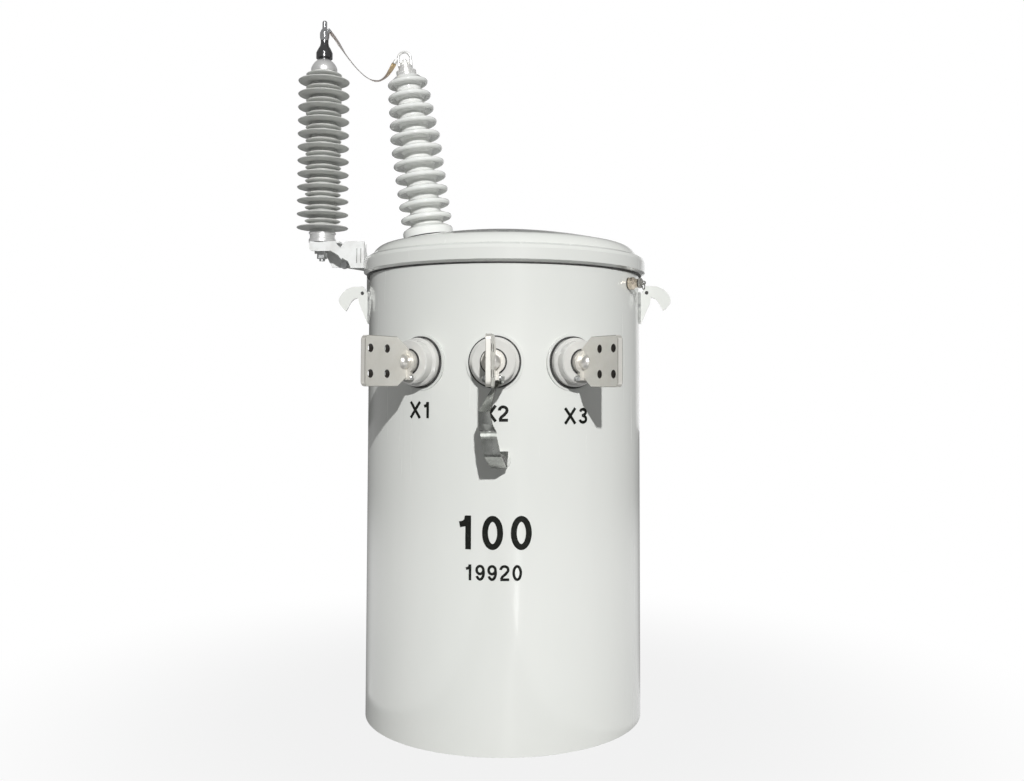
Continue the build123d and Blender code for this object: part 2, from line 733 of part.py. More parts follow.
save(arrester_bracket, "arrester_bracket")

PLATE_LOW = ARR_SEAT - PLATE_T
with BuildPart() as arrester_nut:
    for top, height in ((PLATE_LOW, NUT_H), (PLATE_LOW - LUG_NUT_DROP, LUG_NUT_H)):
        with BuildSketch(Plane.XY.offset(top - height)):
            with Locations((ARR_X, 0)):
                RegularPolygon(NUT_AF / 2, 6, major_radius=False)
        extrude(amount=height)
    with BuildSketch(Plane.XY.offset(PLATE_LOW - STUD_DROP)):
        with Locations((ARR_X, 0)):
            Circle(STUD_HOLE_R - STUD_GAP)
    extrude(amount=PLATE_T + STUD_DROP)
save(arrester_nut, "arrester_nut")

# ---------------------------------------------------------------- LV terminals
for name, az in LV_AZ.items():
    out = facing(az, 0, LV_Z)
    section = beside(az, 0, LV_Z)
    line = Axis(at(az, 0, 0, LV_Z), tuple(out.z_dir))
    with BuildPart() as gasket:
        with BuildSketch(out.offset(LV_FACE)):
            Circle(LV_GASKET_R)
            Circle(LV_HOLE_R, mode=Mode.SUBTRACT)
        extrude(amount=LV_GASKET_T)
    save(gasket, f"{name}_gasket")

    with BuildPart() as bushing:
        with BuildSketch(section):
            with BuildLine():
                Polyline(
                    (LV_FACE - LV_SHANK, STUD_R),
                    (LV_FACE - LV_SHANK, LV_HOLE_R - LV_HOLE_GAP),
                    (GASKET_OUT, LV_HOLE_R - LV_HOLE_GAP),
                    (GASKET_OUT, LV_BODY_R),
                    (BODY_OUT - 3, LV_BODY_R),
                    (BODY_OUT, LV_BODY_R - 3),
                    (BODY_OUT, LV_NECK_R + 1),
                    (BODY_OUT + 1, LV_NECK_R),
                    (NECK_OUT - 2, LV_NECK_R),
                    (NECK_OUT, LV_NECK_R - 2),
                    (NECK_OUT, STUD_R),
                    close=True,
                )
            make_face()
        revolve(axis=line)
    save(bushing, f"{name}_bushing")

    with BuildPart() as seal:
        with BuildSketch(out.offset(NECK_OUT)):
            Circle(SEAL_R)
            Circle(STUD_R, mode=Mode.SUBTRACT)
        extrude(amount=SEAL_T)
    save(seal, f"{name}_seal")

    with BuildPart() as stud:
        with BuildSketch(out.offset(LV_FACE - STUD_IN)):
            Circle(STUD_R)
        extrude(amount=STUD_OUT - LV_FACE + STUD_IN)
        rims = stud.edges().filter_by(GeomType.CIRCLE)
        fillet(rims.sort_by_distance(at(az, STUD_OUT, 0, LV_Z))[0], STUD_DOME)
    save(stud, f"{name}_stud")

    with BuildPart() as bore:
        with BuildSketch(out.offset(SEAL_OUT - 1)):
            Circle(STUD_R)
        extrude(amount=STUD_OUT + DOME_GAP + 1 - SEAL_OUT)
        rims = bore.edges().filter_by(GeomType.CIRCLE)
        fillet(rims.sort_by_distance(at(az, STUD_OUT + DOME_GAP, 0, LV_Z))[0], STUD_DOME)

    with BuildPart() as spade:
        with BuildSketch(out.offset(SEAL_OUT)):
            Circle(HUB_R)
        extrude(amount=HUB_L)
        with BuildSketch(out.offset(SEAL_OUT + 1)):
            with Locations((0, -HUB_R - CLAMP_DROP / 2 + 4)):
                Rectangle(CLAMP_W, CLAMP_DROP + 8)
        extrude(amount=CLAMP_L)
        with BuildSketch(section.offset(-SPADE_T / 2)):
            with BuildLine():
                Polyline(
                    (HUB_OUT - SPADE_ROOT, WEB_H / 2),
                    (SPADE_FULL, SPADE_H / 2),
                    (SPADE_END, SPADE_H / 2),
                    (SPADE_END, -SPADE_H / 2),
                    (SPADE_FULL, -SPADE_H / 2),
                    (HUB_OUT - SPADE_ROOT, -WEB_H / 2),
                    close=True,
                )
            make_face()
        extrude(amount=SPADE_T)
        for up, rho in ((1, SPADE_END), (-1, SPADE_END), (1, SPADE_FULL), (-1, SPADE_FULL)):
            corners = spade.edges().filter_by(Axis((0, 0, 0), tuple(out.x_dir)))
            corner = corners.sort_by_distance(at(az, rho, 0, LV_Z + up * SPADE_H / 2))[0]
            fillet(corner, SPADE_CORNER)
        add(bore.part, mode=Mode.SUBTRACT)
        with BuildSketch(out.offset(SEAL_OUT - 1)):
            with Locations((0, -HUB_R)):
                Rectangle(CLAMP_SLIT, 2 * HUB_R)
        extrude(amount=CLAMP_L + 3, mode=Mode.SUBTRACT)
        with BuildSketch(section.offset(-SPADE_T)):
            with Locations((HOLE_MID, 0)):
                with GridLocations(HOLE_PITCH, HOLE_PITCH, 2, 2):
                    Circle(HOLE_R)
        extrude(amount=2 * SPADE_T, mode=Mode.SUBTRACT)
    save(spade, f"{name}_spade")

# ---------------------------------------------------------------- ground strap
with BuildPart() as ground_boss:
    with BuildSketch(facing(0, TANK_R - TRIM_IN, BOSS_Z, BOSS_RIGHT)):
        Circle(BOSS_R)
    extrude(amount=BOSS_OUT + TRIM_IN)
    with BuildSketch(Plane.XY.offset(BOSS_Z - 2 * BOSS_R)):
        Circle(TANK_R)
    extrude(amount=4 * BOSS_R, mode=Mode.SUBTRACT)
save(ground_boss, "ground_boss")

# stations along the strap: right, out, up, lean of its run, twist and width
TONGUE_OUT = NECK_OUT + STRAP_T / 2
TONGUE_TOP = LV_Z - SEAL_R - TONGUE_DROP
TONGUE_LOW = TONGUE_TOP - TONGUE_H
LOOP_OUT = TANK_R + STRAP_OUT
STATIONS = (
    (0.0, TONGUE_OUT, TONGUE_TOP, 90.0, 0.0, TONGUE_W),
    (0.0, TONGUE_OUT, TONGUE_LOW, 80.0, 0.0, TONGUE_W),
    (3.5, TONGUE_OUT + 12.5, TONGUE_LOW - 6.5, 45.0, -45.0, STRAP_W + 2),
    (2.5, TONGUE_OUT + 17.0, TONGUE_LOW - 12.5, 45.0, -72.0, STRAP_W),
    (-11.0, LOOP_OUT - 2.0, TONGUE_LOW - 52.0, 63.0, -42.0, STRAP_W),
    (-8.0, LOOP_OUT - 1.0, TONGUE_LOW - 73.0, 92.0, -30.0, STRAP_W),
    (-5.0, LOOP_OUT - 2.5, TONGUE_LOW - 83.0, 85.0, -8.0, STRAP_W),
    (-3.5, LOOP_OUT - 1.5, TONGUE_LOW - 85.5, 74.0, 0.0, STRAP_W),
    (-2.0, LOOP_OUT + 2.0, TONGUE_LOW - 97.0, 82.0, 0.0, STRAP_W),
    (3.8, LOOP_OUT + 2.0, BOSS_Z + 18.0, 90.0, 0.0, STRAP_W),
    (4.2, LOOP_OUT - 1.0, BOSS_Z + 14.0, 126.0, 0.0, STRAP_W),
    (9.0, STRAP_LIE + 7.0, BOSS_Z - BOSS_R + 3.5, 166.0, 0.0, STRAP_W),
    (9.5, STRAP_LIE + 2.0, BOSS_Z - BOSS_R + 3.5, 216.0, 0.0, STRAP_W),
    (BOSS_RIGHT - 2.0, STRAP_LIE, BOSS_Z - BOSS_R + 6.5, 260.0, 0.0, STRAP_W),
    (BOSS_RIGHT, STRAP_LIE, BOSS_Z + BOSS_R + 2.0, 270.0, 0.0, STRAP_W),
)
with BuildPart() as ground_strap:
    for t, rho, z, lean, twist, width in STATIONS:
        a = radians(lean)
        w = radians(twist)
        along = Vector(0, -cos(a), -sin(a))
        side = Vector(cos(w), sin(w), 0)
        normal = side.cross(along).normalized()
        with BuildSketch(Plane(origin=(t, -rho, z), x_dir=side, z_dir=side.cross(normal))):
            Rectangle(width, STRAP_T)
    loft(ruled=True)
save(ground_strap, "ground_strap")

# ---------------------------------------------------------------- jumper lead
runs = [(Vector(*b) - Vector(*a)) for a, b in zip(LEAD, LEAD[1:])]
radii = []
for one, two in zip(runs, runs[1:]):
    half = radians(one.get_angle(two)) / 2
    radii.append(0.45 * min(one.length, two.length) / tan(half))
with BuildPart() as jumper_lead:
    with BuildLine() as route:
        FilletPolyline(*LEAD, radius=radii)
    with BuildSketch(Plane(origin=LEAD[0], z_dir=runs[0])):
        Circle(LEAD_R)
    sweep()
save(jumper_lead, "jumper_lead")
length = sum(e.length for e in route.edges())
share = jumper_lead.part.volume / (pi * LEAD_R**2 * length)
print(f"lead: {length:.1f} mm long, tightest arc {min(radii):.1f} mm, volume {share:.4f} of section x length")

# ---------------------------------------------------------------- lifting plates
lift_out = TANK_R + LIFT_FOOT_T
LIFT_LOW = LIFT_TOP - LIFT_H
for name, az in (("lifting_lug_left", -LIFT_AZ), ("lifting_lug_right", LIFT_AZ)):
    section = beside(az, 0, 0)
    with BuildPart() as lug:
        with BuildSketch(section.offset(-LIFT_T / 2)):
            with BuildLine():
                Polyline(
                    (TANK_R - TRIM_IN, LIFT_LOW),
                    (TANK_R - TRIM_IN, LIFT_TOP - 18),
                    (lift_out, LIFT_TOP - 17),
                    (lift_out + 9, LIFT_TOP),
                    (lift_out + 26, LIFT_TOP - 0.5),
                )
                Spline(
                    (lift_out + 26, LIFT_TOP - 0.5),
                    (lift_out + 43, LIFT_TOP - 5.5),
                    (lift_out + 55, LIFT_TOP - 17),
                    (lift_out + 60, LIFT_TOP - 30),
                    (lift_out + 55, LIFT_TOP - 42),
                    (lift_out + 45, LIFT_TOP - 51.5),
                )
                Line((lift_out + 45, LIFT_TOP - 51.5), (lift_out + 40, LIFT_TOP - 43))
                Spline(
                    (lift_out + 40, LIFT_TOP - 43),
                    (lift_out + 35, LIFT_TOP - 33.5),
                    (lift_out + 28, LIFT_TOP - 26.5),
                    (lift_out + 20, LIFT_TOP - 24),
                )
                Polyline(
                    (lift_out + 20, LIFT_TOP - 24),
                    (lift_out + 18.5, LIFT_TOP - 35),
                    (lift_out + 5, LIFT_LOW + 11),
                    (lift_out, LIFT_LOW),
                    (TANK_R - TRIM_IN, LIFT_LOW),
                )
            make_face()
        extrude(amount=LIFT_T)
        foot_h = LIFT_H - LIFT_FOOT_DROP
        with BuildSketch(facing(az, TANK_R - TRIM_IN, LIFT_LOW + foot_h / 2)):
            Rectangle(LIFT_FOOT_W, foot_h)
        extrude(amount=TRIM_IN + LIFT_FOOT_T)
        with BuildSketch(Plane.XY.offset(LIFT_LOW - LIFT_H)):
            Circle(TANK_R)
        extrude(amount=3 * LIFT_H, mode=Mode.SUBTRACT)
        with BuildSketch(section.offset(-LIFT_T)):
            with Locations((lift_out + 11.5, LIFT_TOP - 14)):
                Circle(LIFT_EYE_R)
        extrude(amount=2 * LIFT_T, mode=Mode.SUBTRACT)
    save(lug, name)

# ---------------------------------------------------------------- relief valve
valve_side = beside(VALVE_AZ, 0, VALVE_Z)
valve_line = Axis(at(VALVE_AZ, 0, 0, VALVE_Z), tuple(facing(VALVE_AZ, 0, 0).z_dir))
VALVE_END = TANK_R + VALVE_OUT
TAB_MID = TANK_R + TAB_OUT
with BuildPart() as relief_valve:
    with BuildSketch(valve_side):
        with BuildLine():
            Polyline(
                (TANK_R - TRIM_IN, 0),
                (TANK_R - TRIM_IN, VALVE_BASE_R),
                (VALVE_END - 16.5, VALVE_BASE_R),
                (VALVE_END - 13, VALVE_BODY_R),
                (VALVE_END - 5.5, VALVE_BODY_R),
                (VALVE_END - 5, VALVE_CAP_R),
                (VALVE_END - 1, VALVE_CAP_R),
                (VALVE_END, VALVE_CAP_R - 1.5),
                (VALVE_END, 0),
                close=True,
            )
        make_face()
    revolve(axis=valve_line)
    with BuildSketch(valve_side.offset(-TAB_T / 2)):
        with Locations((TAB_MID - 3, 0)):
            Rectangle(8, 2 * TAB_R - 0.8)
        with Locations((TAB_MID, 0)):
            Circle(TAB_R)
    extrude(amount=TAB_T)
    with BuildSketch(valve_side.offset(-TAB_T)):
        with Locations((TAB_MID, 0)):
            Circle(TAB_HOLE_R)
    extrude(amount=2 * TAB_T, mode=Mode.SUBTRACT)
    with BuildSketch(Plane.XY.offset(VALVE_Z - 2 * VALVE_BASE_R)):
        Circle(TANK_R)
    extrude(amount=4 * VALVE_BASE_R, mode=Mode.SUBTRACT)
save(relief_valve, "relief_valve")

# the pull ring hangs in the tab's hole
ring_top = VALVE_Z - TAB_HOLE_R + RING_WIRE_R + SEAT_GAP
ring_mid = at(VALVE_AZ, TAB_MID, 0, ring_top - RING_R)
with BuildPart() as relief_ring:
    with BuildSketch(Plane(origin=ring_mid, x_dir=(0, 0, 1), z_dir=valve_side.z_dir)):
        with Locations((RING_R, 0)):
            Circle(RING_WIRE_R)
    revolve(axis=Axis(ring_mid, tuple(valve_line.direction)))
save(relief_ring, "relief_ring")

# ---------------------------------------------------------------- pole side
HANGER_IN = TANK_R - 3 * TRIM_IN
for name, low in (("hanger_upper", HANGER_LOW_Z + HANGER_PITCH), ("hanger_lower", HANGER_LOW_Z)):
    with BuildPart() as hanger:
        with BuildSketch(Plane.XY.offset(low - HANGER_BELOW)):
            with Locations((0, (HANGER_FACE + HANGER_IN) / 2)):
                Rectangle(HANGER_W, HANGER_FACE - HANGER_IN)
            with Locations((0, (HANGER_FACE + HANGER_IN) / 2 - HANGER_T)):
                Rectangle(HANGER_W - 2 * HANGER_T, HANGER_FACE - HANGER_IN, mode=Mode.SUBTRACT)
            Circle(TANK_R, mode=Mode.SUBTRACT)
        extrude(amount=HANGER_BELOW + HANGER_ABOVE)
        with BuildSketch(facing(180, HANGER_FACE - 2 * HANGER_T, low)):
            if name == "hanger_upper":
                with Locations((0, -KEY_DROP)):
                    Circle(KEY_R)
                with Locations((0, -KEY_DROP / 2)):
                    SlotCenterToCenter(KEY_DROP, 2 * SLOT_R, rotation=90)
            else:
                with Locations((0, -HANGER_BELOW / 2 - 1)):
                    SlotCenterToCenter(HANGER_BELOW + 2, 2 * SLOT_R, rotation=90)
        extrude(amount=3 * HANGER_T, mode=Mode.SUBTRACT)
    save(hanger, name)

with BuildPart() as ground_pad:
    with BuildSketch(facing(PAD_AZ, TANK_R - TRIM_IN, PAD_Z)):
        RectangleRounded(PAD_W, GROUND_PAD_H, PAD_CORNER)
    extrude(amount=TRIM_IN + PAD_OUT)
    with BuildSketch(Plane.XY.offset(PAD_Z - GROUND_PAD_H)):
        Circle(TANK_R)
    extrude(amount=2 * GROUND_PAD_H, mode=Mode.SUBTRACT)
    with BuildSketch(facing(PAD_AZ, TANK_R + TAPPED_FLOOR, PAD_Z)):
        Circle(TAPPED_R)
    extrude(amount=PAD_OUT, mode=Mode.SUBTRACT)
save(ground_pad, "ground_pad")
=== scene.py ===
import json
from math import cos, degrees, pi, radians, sin, sqrt

import bpy
from mathutils import Matrix, Vector


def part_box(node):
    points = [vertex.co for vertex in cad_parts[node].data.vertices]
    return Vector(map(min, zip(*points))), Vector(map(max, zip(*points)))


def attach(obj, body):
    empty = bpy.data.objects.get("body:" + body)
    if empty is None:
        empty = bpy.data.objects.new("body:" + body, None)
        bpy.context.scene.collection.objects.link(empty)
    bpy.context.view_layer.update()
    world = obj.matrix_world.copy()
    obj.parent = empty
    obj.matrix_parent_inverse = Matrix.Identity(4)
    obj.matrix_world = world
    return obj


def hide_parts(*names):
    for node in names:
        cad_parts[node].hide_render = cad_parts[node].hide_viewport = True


# Pole mounted transformer: finishes, the braided lead, lettering, fasteners, light and camera.
# Metres, in the CAD's frame: +Z up, -Y the low-voltage front, -X the arrester side.
# An azimuth is in degrees round the tank, 0 at the front and 90 at +X; rho is a distance from its axis.

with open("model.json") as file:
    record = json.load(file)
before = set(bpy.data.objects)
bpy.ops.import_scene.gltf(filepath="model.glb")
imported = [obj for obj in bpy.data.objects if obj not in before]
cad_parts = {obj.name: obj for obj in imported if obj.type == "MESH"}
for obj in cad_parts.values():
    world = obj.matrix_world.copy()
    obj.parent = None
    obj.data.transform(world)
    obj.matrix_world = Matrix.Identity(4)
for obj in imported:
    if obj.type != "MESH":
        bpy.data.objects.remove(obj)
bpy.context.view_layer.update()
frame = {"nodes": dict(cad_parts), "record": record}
nodes = frame["nodes"]
mounts = {m["name"]: m for m in frame["record"]["mounts"]}

# ---------------------------------------------------------------- sizes and places
BLADE_HOLES = mounts["x2_spade_holes"]
WALL_GAP = 0.0035  # the bottom plate's edge lies this far inside the shell's face
SHELL_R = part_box("tank_bottom")[1].x + WALL_GAP
LV_AZ = {"x1": -30.0, "x2": 0.0, "x3": 30.0}
LV_Z = BLADE_HOLES["pos_m"][2]
LUG_AZ = {"Left": -85.0, "Right": 85.0}
VALVE_AZ = 64.0
VALVE_FOOT = 0.0026  # painted shade darkens the relief valve up to here, from the shell outwards
VALVE_GROOVE = (0.0196, 0.0232)  # and painted shade darkens its groove between these
VALVE_CAP = 0.0212  # its nickelled cap starts here

HOLE_HALF = BLADE_HOLES["dims"]["spacing_x_mm"] / 2000  # half the spacing of a blade's holes
BLADE_THICK = 0.0095
BLADE_HALF = (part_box("x2_spade")[1].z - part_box("x2_spade")[0].z) / 2
BLADE_END = BLADE_HOLES["pos_m"][1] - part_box("x2_spade")[0].y  # from the holes' middle to the outer end
EDGE_LINE = 0.0012  # painted shade along a blade's edge is this wide on each face
HUB_REACH = 0.060  # the hub's painted shade starts this far inside the middle of the holes

BEND_Z = 0.5777  # middle height of the ground strap's steep bend
BEND_HALF = 0.0054  # and half its height


def at(az, rho, t=0.0, z=0.0):
    """Point at an azimuth, rho from the axis, t to its right and z up."""
    a = radians(az)
    return Vector((rho * sin(a) + t * cos(a), -rho * cos(a) + t * sin(a), z))


def axes(origin, out, right):
    """Matrix of a local frame: x to the right, z outwards."""
    z = Vector(out).normalized()
    x = (Vector(right) - Vector(right).dot(z) * z).normalized()
    y = z.cross(x)
    m = Matrix((x, y, z)).transposed().to_4x4()
    m.translation = Vector(origin)
    return m


def outward(az, rho, z, t=0.0):
    """Frame that looks outwards at an azimuth, x to its right and y up."""
    a = radians(az)
    return axes(at(az, rho, t, z), (sin(a), -cos(a), 0), (cos(a), sin(a), 0))


# ---------------------------------------------------------------- mesh pieces
TUBE_SIDES = 8
CHAMFER = 0.12  # share of a nut's height that its chamfer takes
CHAMFER_IN = 0.9  # share of its corners' radius left at the top


def placed(name, data):
    """A new object of the data, in the scene."""
    obj = bpy.data.objects.new(name, data)
    bpy.context.scene.collection.objects.link(obj)
    return obj


def piece(name, verts, faces, material, smooth=True):
    """A mesh piece, riding on the part's one body."""
    mesh = bpy.data.meshes.new(name)
    mesh.from_pydata([tuple(v) for v in verts], [], faces)
    mesh.update()
    if smooth:
        mesh.shade_smooth()
    else:
        mesh.shade_flat()
    mesh.materials.append(material)
    obj = placed(name, mesh)
    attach(obj, "root")
    return obj


def joined(parts):
    """Vertices and faces of several (vertices, faces) as one pair."""
    verts, faces = [], []
    for v, f in parts:
        base = len(verts)
        verts += v
        faces += [tuple(i + base for i in face) for face in f]
    return verts, faces


def skin(rings, sides, closed=False):
    """Faces between rings of vertices that follow each other, with caps unless the last meets the first."""
    faces = []
    for i in range(rings if closed else rings - 1):
        a, b = i * sides, (i + 1) % rings * sides
        for k in range(sides):
            n = (k + 1) % sides
            faces.append((a + k, a + n, b + n, b + k))
    if not closed:
        faces.append(tuple(range(sides - 1, -1, -1)))
        faces.append(tuple((rings - 1) * sides + k for k in range(sides)))
    return faces


def lathe(m, profile, sides):
    """(vertices, faces) of a profile of (radius, height) turned about a frame's z."""
    verts = []
    for r, h in profile:
        for k in range(sides):
            a = 2 * pi * k / sides
            verts.append(m @ Vector((r * cos(a), r * sin(a), h)))
    return verts, skin(len(profile), sides)


def hexagon(m, across, height):
    """A nut or bolt head with its corners turned down at the top."""
    r = across / sqrt(3)
    return lathe(m, [(r, 0), (r, height * (1 - CHAMFER)), (r * CHAMFER_IN, height)], 6)


def tube(points, radius, closed=False, wobble=0.0):
    """A round bead along points; a weld bead's width wobbles a little."""
    points = [Vector(p) for p in points]
    count = len(points)
    verts = []
    side = None
    for i, p in enumerate(points):
        after = points[(i + 1) % count] if closed or i + 1 < count else p
        before = points[i - 1] if closed or i else p
        along = (after - before).normalized()
        if side is None:
            side = along.orthogonal().normalized()
        side = (side - side.dot(along) * along).normalized()
        other = along.cross(side)
        r = radius * (1 + wobble * sin(i * 2.4) * cos(i * 0.9))
        for k in range(TUBE_SIDES):
            a = 2 * pi * k / TUBE_SIDES
            verts.append(p + r * (cos(a) * side + sin(a) * other))
    return verts, skin(count, TUBE_SIDES, closed)


# ---------------------------------------------------------------- materials
class Nodes:
    """Short calls for the nodes of one material or world."""

    def __init__(self, tree):
        self.tree = tree
        self.tree.nodes.clear()

    def add(self, kind, **settings):
        """A new node; each setting is one of its sockets or its properties."""
        node = self.tree.nodes.new(kind)
        for key, value in settings.items():
            if key in node.inputs:
                node.inputs[key].default_value = value
            else:
                setattr(node, key, value)
        return node

    def link(self, a, b):
        self.tree.links.new(a, b)

    def feed(self, socket, value):
        """Links an output to a socket, or sets the socket's own value."""
        if hasattr(value, "links"):
            self.link(value, socket)
        else:
            socket.default_value = value

    def math(self, operation, *values):
        node = self.add("ShaderNodeMath", operation=operation)
        for socket, value in zip(node.inputs, values):
            self.feed(socket, value)
        return node.outputs[0]

    def times(self, a, b):
        return self.math("MULTIPLY", a, b)

    def most(self, a, b):
        return self.math("MAXIMUM", a, b)

    def along(self, vector, direction):
        """Length of a vector along a fixed direction."""
        node = self.add("ShaderNodeVectorMath", operation="DOT_PRODUCT")
        node.inputs[1].default_value = direction
        self.link(vector, node.inputs[0])
        return node.outputs["Value"]

    def band(self, source, low, high, a=0.0, b=1.0, curve="LINEAR"):
        """Source between low and high mapped to a..b, held at both ends."""
        node = self.add("ShaderNodeMapRange", interpolation_type=curve)
        for key, value in (("From Min", low), ("From Max", high), ("To Min", a), ("To Max", b)):
            node.inputs[key].default_value = value
        self.link(source, node.inputs["Value"])
        return node.outputs[0]

    def ramp(self, source, low, high, a, b):
        """As band, with soft ends."""
        return self.band(source, low, high, a, b, curve="SMOOTHSTEP")


class Finish(Nodes):
    """A material of one Principled shader, with the nodes that vary it over the surface."""

    def __init__(self, name, color, roughness, **sockets):
        self.mat = bpy.data.materials.new(name)
        self.mat.use_nodes = True
        super().__init__(self.mat.node_tree)
        out = self.add("ShaderNodeOutputMaterial")
        self.shader = self.add("ShaderNodeBsdfPrincipled", Roughness=roughness)
        self.link(self.shader.outputs[0], out.inputs[0])
        self.shader.inputs["Base Color"].default_value = (*color, 1)
        for socket, value in sockets.items():
            self.shader.inputs[socket.replace("_", " ")].default_value = value
        self.place = self.add("ShaderNodeTexCoord").outputs["Object"]

    def stretched(self, x, y, z):
        """The object's coordinates, scaled along its axes."""
        node = self.add("ShaderNodeMapping", Scale=(x, y, z))
        self.link(self.place, node.inputs["Vector"])
        return node.outputs[0]

    def past(self, point, direction):
        """How far a place lies past a point, along a direction."""
        return self.math("SUBTRACT", self.along(self.place, direction), point.dot(direction))

    def noise(self, scale, detail, place=None):
        node = self.add("ShaderNodeTexNoise", Scale=scale, Detail=detail, Roughness=0.55)
        self.link(place or self.place, node.inputs["Vector"])
        return node.outputs["Fac"]

    def cells(self, scale):
        """Distance from the nearest of scattered points."""
        node = self.add("ShaderNodeTexVoronoi", feature="F1", Scale=scale)
        self.link(self.place, node.inputs["Vector"])
        return node.outputs["Distance"]

    def recess_shade(self, distance, low=0.1, high=0.55):
        """1 in narrow recesses, 0 on open surface: the mask of painted shade."""
        node = self.add("ShaderNodeAmbientOcclusion", samples=6, Distance=distance)
        return self.band(node.outputs["AO"], low, high, 1.0, 0.0)

    def mix(self, factor, a, b):
        """A colour between a and b; each is a colour or an output."""
        node = self.add("ShaderNodeMix", data_type="RGBA")
        self.link(factor, node.inputs["Factor"])
        for socket, value in ((node.inputs[6], a), (node.inputs[7], b)):
            self.feed(socket, value if hasattr(value, "links") else (*value, 1))
        return node.outputs[2]

    def color(self, output):
        self.link(output, self.shader.inputs["Base Color"])

    def roughness(self, output):
        self.link(output, self.shader.inputs["Roughness"])

    def current(self, socket):
        """The output that feeds a socket of the shader so far."""
        return self.shader.inputs[socket].links[0].from_socket

    def bump(self, height, distance, strength):
        """Adds relief of the given depth in metres; a second call adds to the first."""
        node = self.add("ShaderNodeBump", Strength=strength, Distance=distance)
        self.link(height, node.inputs["Height"])
        if self.shader.inputs["Normal"].links:
            self.link(self.current("Normal"), node.inputs["Normal"])
        self.link(node.outputs[0], self.shader.inputs["Normal"])


UP = Vector((0, 0, 1))


def tank_paint():
    """Gloss alkyd paint on rolled sheet: faint orange peel, dust towards the foot, dull streaks."""
    f = Finish("TankPaint", (0.735, 0.748, 0.715), 0.2, Coat_Weight=0.6, Coat_Roughness=0.06)
    cloud = f.noise(3.2, 5, place=f.stretched(1, 1, 0.35))
    tint = f.mix(f.band(cloud, 0.3, 0.7), (0.735, 0.752, 0.718), (0.78, 0.79, 0.758))
    low = f.band(f.along(f.place, UP), 0.0, 0.12, 0.16, 0.0)
    f.color(f.mix(f.times(low, f.noise(26, 6)), tint, (0.62, 0.61, 0.57)))
    streaks = f.noise(9, 5, place=f.stretched(5, 5, 0.25))
    f.roughness(f.band(streaks, 0.35, 0.75, 0.16, 0.3))
    f.bump(f.noise(420, 2), 0.00012, 0.35)
    f.bump(f.noise(14, 2, place=f.stretched(1, 1, 0.4)), 0.0006, 0.25)
    return f.mat


def bracket_paint():
    """Thick powder coat on bent plate, whiter than the tank and a little worn."""
    f = Finish("BracketPaint", (0.86, 0.87, 0.86), 0.35, Coat_Weight=0.2, Coat_Roughness=0.2)
    f.color(f.mix(f.band(f.noise(38, 6), 0.45, 0.75), (0.80, 0.81, 0.80), (0.66, 0.66, 0.64)))
    f.roughness(f.band(f.noise(60, 4), 0.3, 0.7, 0.28, 0.5))
    f.bump(f.noise(520, 2), 0.0002, 0.4)
    return f.mat


def hv_glaze():
    """Pale grey porcelain under a clear glaze, with painted shade in the recesses between the sheds."""
    f = Finish("PaleGlaze", (0.82, 0.835, 0.81), 0.09, Coat_Weight=0.8, Coat_Roughness=0.03)
    clean = f.mix(f.band(f.noise(11, 4), 0.35, 0.7), (0.86, 0.87, 0.845), (0.785, 0.80, 0.775))
    # painted shade, darkening the recesses between the sheds
    f.color(f.mix(f.times(f.recess_shade(0.02), 0.6), clean, (0.40, 0.40, 0.375)))
    f.roughness(f.band(f.noise(30, 4), 0.3, 0.7, 0.06, 0.14))
    f.bump(f.noise(60, 2), 0.0003, 0.2)
    return f.mat


def lv_glaze():
    """White low-voltage porcelain with a satin glaze and faint specks."""
    f = Finish("WhiteGlaze", (0.66, 0.655, 0.63), 0.14, Coat_Weight=0.7, Coat_Roughness=0.05)
    specks = f.band(f.cells(260), 0.04, 0.1, 1.0, 0.0)
    base = f.mix(f.band(f.noise(22, 4), 0.35, 0.7), (0.69, 0.685, 0.655), (0.62, 0.62, 0.595))
    f.color(f.mix(f.times(specks, 0.3), base, (0.5, 0.48, 0.44)))
    f.bump(f.noise(90, 2), 0.0002, 0.2)
    return f.mat


def polymer():
    """Grey silicone housing, matt: chalky dust on what faces up, painted shade in the recesses between the
    sheds.
    """
    f = Finish("GreyPolymer", (0.48, 0.49, 0.475), 0.48)
    facing_up = f.along(f.add("ShaderNodeNewGeometry").outputs["Normal"], UP)
    dust = f.times(f.band(facing_up, 0.1, 0.9), f.band(f.noise(45, 6), 0.25, 0.7))
    base = f.mix(f.band(f.noise(18, 4), 0.35, 0.7), (0.585, 0.595, 0.575), (0.665, 0.675, 0.65))
    dusty = f.mix(dust, base, (0.82, 0.82, 0.79))
    # painted shade, darkening the recesses between the sheds
    f.color(f.mix(f.times(f.recess_shade(0.012), 0.5), dusty, (0.25, 0.255, 0.245)))
    f.roughness(f.band(f.noise(80, 4), 0.3, 0.7, 0.4, 0.56))
    f.bump(f.noise(700, 2), 0.00015, 0.3)
    return f.mat


def metal(name, light, dark, rough, grain=(60, 60, 60), dull=0.4, metallic=1.0):
    """Bare metal as a Finish: fine grain between two roughnesses, slow tarnish from light to dark."""
    f = Finish(name, light, rough[0], Metallic=metallic)
    fine = f.noise(6, 6, place=f.stretched(*grain))
    tarnish = f.band(f.noise(34, 5), 0.4, 0.75, 0.0, dull)
    f.color(f.mix(tarnish, f.mix(fine, light, [0.93 * c for c in light]), dark))
    f.roughness(f.band(fine, 0.25, 0.75, *rough))
    f.bump(fine, 0.00008, 0.3)
    return f


